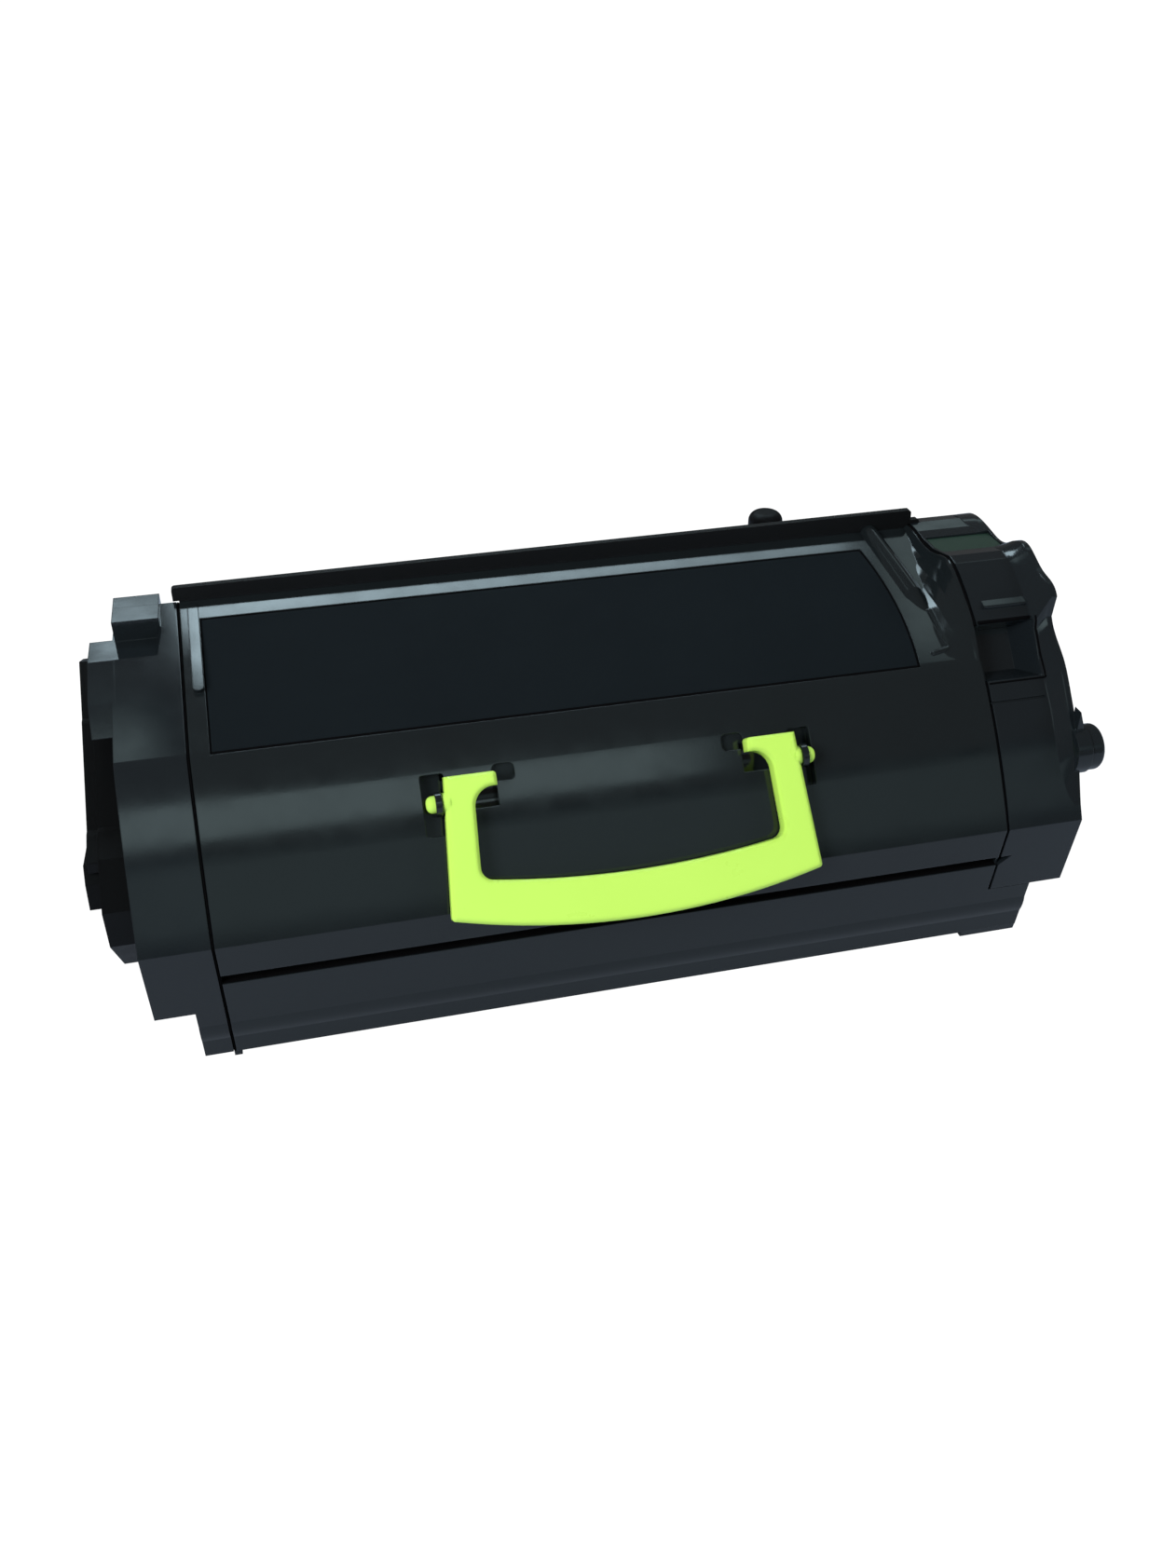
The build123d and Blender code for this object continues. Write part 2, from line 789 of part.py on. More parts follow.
def top_cover():
    """The moulded front and deck: label recess, margin bar, ridge, shoulder and handle pockets."""
    cover = along(shell & window(-80, deck_back_y, cover_lip_z, 140), -half, half)
    cover += right_shoulder()
    cover = handle_pockets(cover)
    cover += deck_ridge()
    cover -= on_deck(label_outline(recess_margin, recess_low_margin), recess_depth, 6)
    bar = SlotOverall(label_high - margin_bar_start + 8, margin_bar_width, rotation=90)
    bar_x = label_left - recess_margin - margin_bar_width / 2 - 0.2
    bar_v = (label_high + margin_bar_start + 8) / 2
    bar = on_deck(Pos(bar_x, bar_v) * bar, 0.5, margin_bar_height)
    crest = [deck_point(0, margin_bar_start - 2, margin_bar_height), deck_point(0, label_high + 8, 0.2)]
    crest += [deck_point(0, label_high + 8, -3), deck_point(0, margin_bar_start - 2, -3)]
    bar = bar & along(Polygon(*[(p[1], p[2]) for p in reversed(crest)], align=None), -half, half)
    cover += bar & block(-half, half, -80, deck_back_y, 0, 200)
    return cover & block(-half, half, -80, deck_back_y, 0, 200)


def label():
    """The bare label sheet at the bottom of its recess."""
    return extrude(deck_plane.offset(-recess_depth) * label_outline(0, 0), amount=label_thickness)


# Rear cover
def rail():
    """The upright rail along the back of the deck, a little higher at the right, with a hook there."""
    low = deck_z(deck_back_y) + 0.3
    left = -half - rail_overhang
    right = half + rail_overhang - 1
    shape = Polygon((left, low), (right, low), (right, rail_top_z + rail_rise), (left, rail_top_z), align=None)
    shape = fillet(shape.vertices().group_by(Axis.Y)[-1] + shape.vertices().group_by(Axis.Y)[-2], rail_round)
    hook = RectangleRounded(rail_hook_width, rail_hook_height, rail_hook_height / 3)
    shape += Pos(half + rail_overhang, low + rail_hook_height / 2 + 0.1) * hook
    bar = Pos(0, deck_back_y + rail_thickness, 0) * extrude(Plane.XZ * shape, amount=rail_thickness)
    foot = window(deck_back_y, deck_back_y + rail_thickness, low - 6, low + 1) - inner
    return bar + along(foot, -half, half)


def rear_cover():
    """The upper back wall with the rail, the filler neck and half of the welded flange."""
    section = (shell & window(deck_back_y, 90, back_rim_z, 140)) + rim_flange(back_rim_z)
    cover = along(section, -half, half) + rail()
    up = (Align.CENTER, Align.CENTER, Align.MIN)
    low = neck_top_z - neck_height
    neck = Pos(plug_x, plug_y, low + neck_taper) * Cylinder(neck_r, neck_height - neck_taper, align=up)
    neck += Pos(plug_x, plug_y, low) * Cone(neck_low_r, neck_r, neck_taper, align=up)
    cover += neck
    cover -= Pos(plug_x, plug_y, neck_top_z) * Cylinder(plug_r + 0.3, 20, align=up)
    return cover - Pos(plug_x, plug_y, low - 1) * Cylinder(plug_stem_r, 40, align=up)


def fill_plug():
    """The stopper in the filler neck: a stem and a domed head."""
    base = Pos(plug_x, plug_y, neck_top_z)
    head = base * Cylinder(plug_r, plug_top_z - neck_top_z, align=(Align.CENTER, Align.CENTER, Align.MIN))
    head = fillet(head.edges().group_by(Axis.Z)[-1], plug_round)
    down = (Align.CENTER, Align.CENTER, Align.MAX)
    return head + base * Cylinder(plug_stem_r - running_fit, plug_stem_length, align=down)


# End caps
def cap_screw_post(x_face, x_out):
    """The solid and the hole of a post for a screw that holds a cap to the hopper."""
    posts = []
    holes = []
    out = 1 if x_out > x_face else -1
    for y, z in cap_screws:
        a, b = sorted((x_face, x_out))
        posts.append(rod(screw_head_r + boss_wall, y, z, a, b))
        c, d = sorted((x_face + out * screw_seat, x_out + out * 10))
        e, f = sorted((x_face - out, x_out))
        holes.append(rod(screw_head_r + 0.3, y, z, c, d))
        holes.append(rod(screw_r + 0.1, y, z, e, f))
    return posts, holes


def cap_window():
    """The part of the section that an end cap covers: all but the chute under its front."""
    return window(-80, chute_back_y, low_seam_z, 140) + window(chute_back_y, 80, -1, 140)


def groove_notch(x_from, x_to, inward):
    """The pointed end of the front groove, cut into a cap."""
    tip = x_to if inward > 0 else x_from
    base = x_from if inward > 0 else x_to
    y = front_y(cover_lip_z)
    outline = Polygon((base, skirt_top_z), (tip, cover_lip_z), (base, cover_lip_z), align=None)
    return Pos(0, y + groove_depth, 0) * extrude(Plane.XZ * outline, amount=20)


def left_region(inset=0.0):
    """The left cap in section, with the flat ledge behind its sloping top."""
    region = hopper_region(inset) & window(-80, 80, -1, 140)
    ledge = window(ledge_back_y - ledge_reach, ledge_back_y + inset, ledge_z - inset, 140)
    return region - ledge


def band_ramp():
    """The ramp by which the ledge flares up to the band at the seam."""
    band_x = left_face - left_band_length
    outline = Polygon(
        (band_x + 0.5, ledge_z - 1), (band_x + 0.5, ledge_z + 2 * flare), (band_x - flare, ledge_z - 1), align=None
    )
    ramp = extrude(Plane.XZ * outline, amount=80, both=True)
    return ramp & along(skin, left_face - 20, left_face) & block(-300, 0, 10, ledge_back_y + 1, 0, 200)


def left_end_cap():
    """The gear housing: a cup open to the hopper, with ledge, flange block, tongue and outboard bearings."""
    body = along(left_region() & cap_window(), left_end, left_face)
    body += along(skin & cap_window(), left_face - left_band_length, left_face)
    body -= block(left_end - 1, top_block_left, ledge_back_y - ledge_reach, back_y - 8, ledge_z, 140)
    body += block(top_block_left, top_block_right, ledge_back_y, back_y - 10, ledge_z - 3, top_block_z)
    body += band_ramp()
    flange = along(Polygon(*flange_side, align=None), left_end - block_out, left_end + 1)
    body += flange - along(base_outline(-0.3), left_end - block_out - 1, left_end)
    body += along(skin & window(-80, chute_back_y, trough_low_z, low_seam_z + 1), tongue_end, left_face)
    cavity = left_region(wall) & (window(-80, chute_back_y, low_seam_z - 2, 140) + window(chute_back_y, 80, -1, 140))
    body -= along(cavity, left_end + wall, left_face + 1)
    body -= along(left_region(wall), tongue_end + wall, left_face + 1)
    body -= rod(hub_r + 1.5, *drive, left_end - 1, left_end + wall + 1)
    body += rod(idler_pin_r + 2, *upper_idler, left_end + wall - 0.5, gear_left - 0.4)
    body -= rod(idler_pin_r + running_fit, *upper_idler, upper_pin_end - 0.3, gear_left)
    body -= rod(idler_pin_r + running_fit, *lower_idler, lower_pin_end - 0.2, gear_left)
    body += rod(shaft_r + 2.5, drum_y, drum_z, left_end + wall - 0.5, gear_left - 0.4)
    body -= rod(shaft_r + running_fit, drum_y, drum_z, shaft_left - 0.4, gear_left)
    body -= rod(shaft_r + running_fit, trough_y, trough_z, tongue_end - 1, tongue_end + wall + 1)
    posts, holes = cap_screw_post(left_face, left_end)
    body = body + posts - holes
    for y, z in cover_screws:
        body += rod(screw_r + 2, y, z, left_end + wall - 0.5, left_end + screw_length - cover_wall)
        body -= rod(screw_r, y, z, left_end - 1, left_end + screw_length - cover_wall + 0.3)
    body -= groove_notch(left_face - groove_reach, left_face, -1)
    return body


def base_outline(inset=0.0):
    """The gear cover's lower level, seen from the end."""
    points = [Vector(y, z) for y, z in base_points]
    closed = points + points[:2]
    moved = shifted(closed, inset)[1:-1]
    return Polygon(*[(p.X, p.Y) for p in reversed(moved)], align=None)


def plateau_outline():
    """The gear cover's upper level."""
    return base_outline(plateau_inset) & Polygon(*plateau_points, align=None)


def gear_cover():
    """The two-level outer cover with the drive collar and the left guide lug."""
    plateau_x = left_end - cover_depth - plateau_depth
    cover = along(base_outline(), left_end - cover_depth, left_end)
    cover += along(plateau_outline(), plateau_x, left_end)
    cover += rod(collar_r, *drive, plateau_x - collar_out, left_end)
    cover -= along(base_outline(cover_wall), left_end - cover_depth + cover_wall, left_end + 1)
    cover += rod(collar_r, *drive, plateau_x, left_end - 3)
    cover -= rod(hub_r + running_fit, *drive, left_end - 30, left_end + 1)
    lug = Polygon(*left_lug, align=None)
    cover += along(lug, left_end - cover_depth - lug_length, left_end - cover_depth + 1)
    for y, z in cover_screws:
        cover += rod(screw_head_r + boss_wall, y, z, left_end - cover_depth, left_end)
        cover -= rod(screw_head_r + 0.3, y, z, left_end - 40, left_end - cover_wall)
        cover -= rod(screw_r + 0.1, y, z, left_end - cover_wall - 1, left_end + 1)
    return cover


def right_region(inset=0.0):
    """The right cap in section: the hopper's outline with the shoulder on top."""
    top = [Vector(y, z) for y, z in reversed(shoulder_line)]
    top.append(Vector(top[-1].X, top[-1].Y - 20))
    moved = shifted(top, inset)
    hump = Polygon(*[(p.X, p.Y) for p in reversed(moved)], align=None)
    return hopper_region(inset) + hump


def flange_section(top, front, x):
    """One section of the end flange: a smooth top, a step and a smooth front, closed inside the cap."""
    front_end = front[-1]
    outline = Spline(*top) + Line(top[-1], front[0]) + Spline(*front)
    outline += Polyline(front_end, (front_end[0] + 9, front_end[1] - 4), (30, 90), (50, 100), top[0])
    return Pos(x, 0, 0) * (Plane.YZ * make_face(outline))


def end_flange():
    """The flange at the cap's outer end, prouder than the cap and run into it by a short ramp."""
    ramp = loft([flange_section(cap_top, cap_front, right_end - flange_ramp),
                 flange_section(flange_top, flange_front, right_end + 1)], ruled=True)
    plate = along(Plane.YZ.to_local_coords(flange_section(flange_top, flange_front, 0)), right_end + 1, flange_end)
    return ramp + plate + along(skin & window(-80, 9.5, -1, 100) & cap_window(), right_end - 1, flange_end)


def pocket_block(margin, depth):
    """The finger pocket: square at the mouth, with a sloping right wall and floor."""
    x_mid = (pocket_left + pocket_right) / 2
    width = pocket_right - pocket_left + 2 * margin
    height = pocket_height + 2 * margin
    rim = pocket_plane * Pos(x_mid, 0) * Rectangle(width, height)
    shift = pocket_slope / 2
    floor = Rectangle(width - pocket_slope, height - pocket_slope)
    floor = pocket_plane.offset(-depth) * Pos(x_mid - shift, shift) * floor
    return loft([rim, floor], ruled=True) + extrude(rim, until=None, amount=4)


def chip_seat(margin, z_from, z_to):
    """A block under or over the chip board, with a margin round it."""
    return block(chip_left - margin, chip_left + chip_width + margin,
                 chip_front_y - margin, chip_front_y + chip_depth + margin, z_from, z_to)


def guide_pin():
    """The pin that rides in the printer's guide rail, with its collar and the gusset over it."""
    tip = flange_end + guide_pin_length
    pin = rod(guide_pin_r, guide_pin_y, guide_pin_z, flange_end + guide_collar - 0.5, tip)
    pin = fillet(pin.edges().filter_by(GeomType.CIRCLE).sort_by(Axis.X)[-1], guide_pin_round)
    pin += rod(guide_pin_r + guide_step, guide_pin_y, guide_pin_z, flange_end - 2, flange_end + guide_collar)
    gusset = Polygon((0, 0), (guide_collar, 0), (0, gusset_height), align=None)
    gusset = Plane.XZ * (Pos(flange_end - 0.5, guide_pin_z + guide_pin_r - 1.2) * gusset)
    return pin + Pos(0, guide_pin_y + gusset_width / 2, 0) * extrude(gusset, amount=gusset_width)


def right_end_cap():
    """The right housing: shoulder, end flange, finger pocket, hook ledge, chip seat and guide pin."""
    cap = along(right_region() & cap_window(), right_face, right_end)
    cap += end_flange()
    hollow = window(-80, chute_back_y + wall, low_seam_z - 2, 140) + window(chute_back_y + wall, 80, -1, 140)
    cavity = right_region(wall) & hollow
    cap -= along(cavity, right_face - 1, right_end - wall)
    cap -= along(fitted & window(-80, chute_back_y, -1, low_seam_z + 1), right_face - 1, right_end - wall)
    cap += pocket_block(pocket_wall, pocket_depth + pocket_wall) & along(right_region(), right_face, right_end)
    cap -= pocket_block(0, pocket_depth)
    ledge = Rotation(0, 0, hook_tilt) * RectangleRounded(hook_width, hook_height, hook_height / 5)
    cap += along(Pos(hook_y, hook_z) * ledge, hook_left, flange_end - 1.5)
    cap += chip_seat(1, chip_z - 2, chip_z + 1) & along(right_region(), right_face + 0.5, right_end)
    cap -= chip_seat(0, chip_z, 140)
    cap -= block(right_face - 1, half + rail_overhang + 3, deck_back_y - 0.3, deck_back_y + rail_thickness + 0.3,
                 deck_z(deck_back_y), 140)
    cap += guide_pin()
    cap += rod(encoder_hub_r, drum_y, drum_z, shaft_right + 0.5 - 4, right_end - wall + 0.5)
    cap -= rod(shaft_r + running_fit, drum_y, drum_z, shaft_right - 6, shaft_right + 0.5)
    posts, holes = cap_screw_post(right_face, right_end)
    cap = cap + posts - holes
    cap -= groove_notch(right_face, right_face + groove_reach, 1)
    slit = Rotation(0, 0, panel_groove_angle) * Rectangle(2 * panel_groove_depth, panel_groove_width)
    cap -= along(Pos(panel_groove_y, panel_groove_z) * slit, right_face - 0.1, right_end - flange_ramp)
    return cap


def chip_board():
    """The memory chip board in its seat on the right cap."""
    return chip_seat(-chip_fit, chip_z, chip_z + chip_thickness)


# Handle
def handle_outline():
    """The handle seen square on: hooked knuckles, flared arms and a bowed grip."""
    right = [
        (-arm_low_half, -grip_inner_v),
        (-arm_top_half, knuckle_low),
        (-knuckle_inner_half, knuckle_low),
        (-knuckle_inner_half, knuckle_length),
        (-handle_top_half, knuckle_length),
        (-handle_low_half, -grip_outer_v),
    ]
    left = [(-u, v) for u, v in right]
    outline = Polyline(*right) + Polyline(*left)
    outline += ThreePointArc(right[0], (0, -grip_inner_v - grip_inner_bow), left[0])
    outline += ThreePointArc(right[-1], (0, -grip_outer_v - grip_outer_bow), left[-1])
    face = make_face(outline)
    arm_lean = atan2(arm_low_half - arm_top_half, grip_inner_v + knuckle_low)
    hook_round = hook_share * knuckle_hook * tan((pi / 2 + arm_lean) / 2)
    for u, v in (right[1], left[1]):
        face = fillet(face.vertices().sort_by_distance((u, v))[0], hook_round)
    for u, v in (right[0], left[0]):
        face = fillet(face.vertices().sort_by_distance((u, v))[0], grip_inner_round)
    for u, v in (right[5], left[5], right[3], left[3]):
        face = fillet(face.vertices().sort_by_distance((u, v))[0], corner_round)
    return face


def handle():
    """The carrying handle with its bosses and round-ended pins."""
    plate = extrude(handle_plane.offset(handle_low_w) * handle_outline(), amount=handle_thickness)
    face_edges = plate.faces().sort_by(Axis(handle_plane.origin, handle_plane.z_dir))[-1].edges()
    plate = chamfer(face_edges, handle_edge)
    knuckle_zone = rod(scoop_r - 0.3, pivot_y, pivot_z, -handle_low_half - 5, handle_low_half + 5)
    lower_zone = extrude(handle_plane.offset(-30) * Pos(0, -50) * Rectangle(300, 100), amount=60)
    body = plate & (knuckle_zone + lower_zone)
    for side in (-1, 1):
        outside = handle_x + side * handle_top_half
        a, b = sorted((outside - side, outside + side * boss_step))
        body += rod(boss_r, pivot_y, pivot_z, a, b)
        body += round_pin(pin_r, pin_round, pivot_y, pivot_z, outside, outside + side * (boss_step + pin_length))
    return body


# Gears
def involute(angle):
    """The involute function of an angle in radians."""
    return tan(angle) - angle


def gear_face_sketch(teeth, phase):
    """A spur gear seen from the end, with one tooth centred at the phase angle in degrees."""
    pitch_r = gear_module * teeth / 2
    base_r = pitch_r * cos(radians(pressure_angle))
    tip_r = pitch_r + tooth_addendum * gear_module
    root_r = pitch_r - tooth_dedendum * gear_module
    half_pitch = pi / (2 * teeth) - tooth_backlash / (2 * pitch_r) + involute(radians(pressure_angle))
    flank = []
    low_r = max(base_r, root_r)
    for step in range(4):
        radius = low_r + (tip_r - low_r) * step / 3
        flank.append((radius, half_pitch - involute(acos(base_r / radius))))
    if root_r < base_r:
        flank.insert(0, (root_r, half_pitch))
    points = []
    for tooth in range(teeth):
        centre = radians(phase) + 2 * pi * tooth / teeth
        for radius, spread in flank:
            points.append((radius * cos(centre - spread), radius * sin(centre - spread)))
        for radius, spread in reversed(flank):
            points.append((radius * cos(centre + spread), radius * sin(centre + spread)))
    return Polygon(*points, align=None)


def mesh_phase(phase, teeth, mate_teeth, line_angle):
    """The phase of a gear's mate, whose axis lies at an angle from the gear's axis."""
    return line_angle + 180 + 180 / mate_teeth - (phase - line_angle) * teeth / mate_teeth


agitator_phase = 0.0
upper_phase = mesh_phase(agitator_phase, agitator_teeth, upper_idler_teeth, upper_idler_angle)
drive_phase = mesh_phase(upper_phase, upper_idler_teeth, drive_teeth, drive_angle)
lower_angle = auger_angle + idler_bend
lower_phase = mesh_phase(agitator_phase, agitator_teeth, lower_idler_teeth, lower_angle)
auger_line = degrees(atan2(trough_z - lower_idler[1], trough_y - lower_idler[0]))
auger_phase = mesh_phase(lower_phase, lower_idler_teeth, auger_teeth, auger_line)


def gear(teeth, phase, place):
    """A plain toothed wheel in the gear plane."""
    return along(Pos(*place) * gear_face_sketch(teeth, phase), gear_left, gear_x)


def d_section(radius, flat):
    """A round section with one flat."""
    return Circle(radius) & Pos(flat - radius, 0) * Rectangle(2 * radius, 2 * radius)


def drive_coupler():
    """The coupler that the printer turns: gear, long hub with a three-lobed socket, and inner stub."""
    hub_end = left_end - cover_depth - plateau_depth - 0.7
    body = gear(drive_teeth, drive_phase, drive)
    body += rod(hub_r, *drive, hub_end, gear_left)
    body += rod(shaft_r, *drive, gear_x - 1, -half + wall + 1.2)
    socket = Circle(socket_r)
    for lobe in range(keyways):
        keyway = Pos(socket_r, 0) * Rectangle(2 * keyway_depth, keyway_width)
        socket += Rotation(0, 0, lobe * 360 / keyways) * keyway
    body -= along(Pos(*drive) * socket, hub_end - 1, hub_end + socket_depth)
    return body - rod(hub_r - hub_wall, *drive, hub_end + socket_depth + socket_floor, gear_left - 1)


def upper_idler_gear():
    """The idler between the drive coupler and the agitator gear."""
    body = gear(upper_idler_teeth, upper_phase, upper_idler)
    return body - rod(idler_pin_r + running_fit, *upper_idler, gear_left - 1, gear_x + 1)


def lower_idler_gear():
    """The idler between the agitator gear and the auger gear."""
    body = gear(lower_idler_teeth, lower_phase, lower_idler)
    return body - rod(idler_pin_r + running_fit, *lower_idler, gear_left - 1, gear_x + 1)


def agitator_gear():
    """The large gear on the agitator shaft, with a thin web and six holes."""
    place = Pos(drum_y, drum_z)
    rim_r = gear_module * agitator_teeth / 2 - gear_rim
    body = gear(agitator_teeth, agitator_phase, (drum_y, drum_z))
    groove = place * (Circle(rim_r) - Circle(shaft_r + 3))
    body -= along(groove, gear_left - 1, gear_left + web_groove)
    body -= along(groove, gear_x - web_groove, gear_x + 1)
    for hole in range(web_holes):
        y, z = polar(drum_y, drum_z, (rim_r + shaft_r + 3) / 2, (hole + 0.5) * 360 / web_holes)
        body -= rod(web_hole_r, y, z, gear_left - 1, gear_x + 1)
    return body - along(place * d_section(shaft_r, shaft_flat), gear_left - 1, gear_x + 1)


def auger_gear():
    """The gear on the auger's left end."""
    body = gear(auger_teeth, auger_phase, (trough_y, trough_z))
    return body - along(Pos(trough_y, trough_z) * d_section(shaft_r, shaft_flat), gear_left - 1, gear_x + 1)


def upper_idler_pin():
    """The steel pin that carries the upper idler."""
    return rod(idler_pin_r, *upper_idler, upper_pin_end, -half + wall + 0.8)


def lower_idler_pin():
    """The steel pin that carries the lower idler."""
    return rod(idler_pin_r, *lower_idler, lower_pin_end, -half + wall + 0.8)


# Agitator
def agitator_shaft():
    """The steel shaft, with flats for the gear and the encoder wheel."""
    place = Pos(drum_y, drum_z)
    body = rod(shaft_r, drum_y, drum_z, shaft_left, shaft_right)
    waste = place * (Circle(shaft_r + 1) - d_section(shaft_r + 2, shaft_flat))
    body -= along(waste, gear_left, gear_x)
    body -= along(waste, encoder_x, encoder_x + encoder_hub)
    return body


def agitator_frame():
    """The moulded stirrer: a sleeve, radial arms, the blade's carrier bar and a counter bar."""
    place = Pos(drum_y, drum_z) * Rotation(0, 0, blade_angle)
    body = along(place * Circle(shaft_r + 2), -frame_half, frame_half)
    for i in range(frame_arms):
        x = (i - (frame_arms - 1) / 2) * 2 * (frame_half - 2) / (frame_arms - 1)
        arm = Pos((arm_reach - 1) / 2, 0) * Rectangle(arm_reach - 1, arm_depth)
        arm += Pos(-counter_reach / 2, 0) * Rectangle(counter_reach, arm_depth)
        body += along(place * arm, x - arm_thickness / 2, x + arm_thickness / 2)
    body += along(place * Pos(arm_reach - 2, 0) * Rectangle(4, arm_depth), -frame_half, frame_half)
    body += along(place * Pos(-counter_reach, 0) * Rectangle(3, arm_depth), -frame_half, frame_half)
    return body - along(place * Circle(shaft_r), -half, half)


def agitator_blade():
    """The flexible wiping blade on the carrier bar."""
    place = Pos(drum_y, drum_z) * Rotation(0, 0, blade_angle)
    width = blade_reach - arm_reach + 4
    sheet = Pos(blade_reach - width / 2, (arm_depth + blade_thickness) / 2) * Rectangle(width, blade_thickness)
    return along(place * sheet, -frame_half + 1, frame_half - 1)


def encoder_wheel():
    """The slotted wheel on the right end of the agitator shaft."""
    place = Pos(drum_y, drum_z)
    disc = Circle(encoder_r)
    for slot in range(encoder_slots):
        width = encoder_slot_width if slot else encoder_index_width
        cut = Pos(encoder_r - 2, 0) * Rectangle(encoder_slot_length, width)
        disc -= Rotation(0, 0, slot * 360 / encoder_slots) * cut
    body = along(place * disc, encoder_x, encoder_x + encoder_thickness)
    body += along(place * Circle(shaft_r + 2.5), encoder_x, encoder_x + encoder_hub)
    return body - along(place * d_section(shaft_r, shaft_flat), encoder_x - 1, encoder_x + encoder_hub + 1)


def agitator_bushes():
    """The flanged bushes in the two end walls."""
    bushes = []
    for side in (-1, 1):
        a, b = sorted((side * (half - wall), side * half))
        c, d = sorted((side * half, side * (half + bush_flange)))
        bush = rod(bush_r, drum_y, drum_z, a, b) + rod(bush_flange_r, drum_y, drum_z, c, d)
        bushes.append(bush - rod(shaft_r + running_fit, drum_y, drum_z, a - 9, b + 9))
    return bushes


def shaft_seals():
    """The felt rings that keep the toner off the agitator's bushes."""
    seals = []
    for side in (-1, 1):
        a, b = sorted((side * (half - wall), side * (half - wall - seal_thickness)))
        seals.append(ring(bush_flange_r, shaft_r + running_fit, drum_y, drum_z, a, b))
    return seals


# Auger
def auger():
    """The moulded auger: shaft, helical flight, and straight paddles over the port."""
    left = tongue_end + 0.3
    right = chute_end - wall - 0.4
    body = rod(shaft_r, trough_y, trough_z, left, right)
    body += rod(journal_r, trough_y, trough_z, right - 1, chute_end - 1.1)
    waste = Pos(trough_y, trough_z) * (Circle(shaft_r + 1) - d_section(shaft_r + 2, shaft_flat))
    body -= along(waste, gear_left, gear_x)
    start = Plane(origin=(-half + wall + auger_clear, trough_y, trough_z), x_dir=(0, 1, 0), z_dir=(1, 0, 0))
    radius = (auger_r + shaft_r - 0.4) / 2
    length = paddle_start - (-half + wall + auger_clear)
    path = Helix(pitch=auger_pitch, height=length, radius=radius)
    radial = Plane(origin=path @ 0, x_dir=(1, 0, 0), z_dir=path % 0)
    section = radial * Rectangle(auger_r - shaft_r + 0.4, flight_thickness)
    flight = sweep(section, path=path, is_frenet=True)
    body += start * flight
    for turn in (0, 90):
        blade = Pos(trough_y, trough_z) * Rotation(0, 0, turn) * Rectangle(2 * auger_r - 1, paddle_thickness)
        body += along(blade, paddle_start + 1, right - 0.8)
    return body


def auger_bush():
    """The flanged bush of the auger in the left wall."""
    bush = rod(auger_bush_r, trough_y, trough_z, -half - 1, -half + wall)
    bush += rod(auger_bush_r + auger_bush_flange, trough_y, trough_z, -half - 1, -half)
    return bush - rod(shaft_r + running_fit, trough_y, trough_z, -half - 9, -half + 9)


# Exit port
def exit_seal():
    """The foam frame round the port, over the shutter."""
    x_mid = half + port_x
    outer = block(x_mid - seal_half, x_mid + seal_half, trough_y - seal_half, trough_y + seal_half,
                  channel_low + channel_height + 0.02, channel_low + channel_height + seal_height)
    return outer - block(x_mid - port_length / 2, x_mid + port_length / 2,
                         trough_y - port_width / 2, trough_y + port_width / 2, -1, 20)


def exit_shutter():
    """The shutter plate in its channel, with a rib for the printer's hook."""
    x_mid = half + port_x
    front = channel_front_y + 0.3
    low = channel_low + shutter_fit
    plate_half = shutter_half - shutter_fit
    rib_half = slit_half - shutter_fit
    plate = block(x_mid - plate_half, x_mid + plate_half, front, front + shutter_length,
                  low, low + shutter_thickness)
    rib = block(x_mid - rib_half, x_mid + rib_half, front, front + shutter_rib, shutter_rib_z, low + 0.5)
    return plate + rib


# Screws
def screw(place, x_seat, direction, length):
    """A pan-head screw along X whose head rests on a seat."""
    y, z = place
    a, b = sorted((x_seat, x_seat - direction * screw_head))
    head = rod(screw_head_r, y, z, a, b)
    a, b = sorted((x_seat, x_seat + direction * length))
    cross = Rectangle(screw_cross, screw_cross_width) + Rectangle(screw_cross_width, screw_cross)
    a_cut, b_cut = sorted((x_seat - direction * screw_head, x_seat - direction * (screw_head - screw_cross_depth)))
    return head + rod(screw_r - 0.02, y, z, a, b) - along(Pos(y, z) * cross, a_cut, b_cut)


def gear_cover_screws():
    """The three screws that hold the gear cover to the left cap."""
    return [screw(place, left_end - cover_wall, 1, screw_length - 1) for place in cover_screws]


def left_cap_screws():
    """The three screws that hold the left cap to the hopper."""
    return [screw(place, left_face - screw_seat, 1, screw_seat + seam_gap + wall - 0.5) for place in cap_screws]


def right_cap_screws():
    """The three screws that hold the right cap to the hopper."""
    return [screw(place, right_face + screw_seat, -1, screw_seat + seam_gap + wall - 0.5) for place in cap_screws]


makers = [
    hopper_tub,
    top_cover,
    label,
    rear_cover,
    fill_plug,
    left_end_cap,
    gear_cover,
    right_end_cap,
    chip_board,
    handle,
    drive_coupler,
    upper_idler_gear,
    lower_idler_gear,
    agitator_gear,
    auger_gear,
    upper_idler_pin,
    lower_idler_pin,
    agitator_shaft,
    agitator_frame,
    agitator_blade,
    agitator_bushes,
    shaft_seals,
    encoder_wheel,
    auger,
    auger_bush,
    exit_seal,
    exit_shutter,
    gear_cover_screws,
    left_cap_screws,
    right_cap_screws,
]
for make in makers:
    solid = make()
    if isinstance(solid, list):
        solid = Compound(children=solid)
    export_step(solid, f"parts/{make.__name__}.step")
    print(make.__name__, len(solid.solids()), round(solid.volume))
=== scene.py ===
from math import cos, pi, radians, sin, tan

import bmesh
import bpy
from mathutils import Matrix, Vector
from mathutils.bvhtree import BVHTree


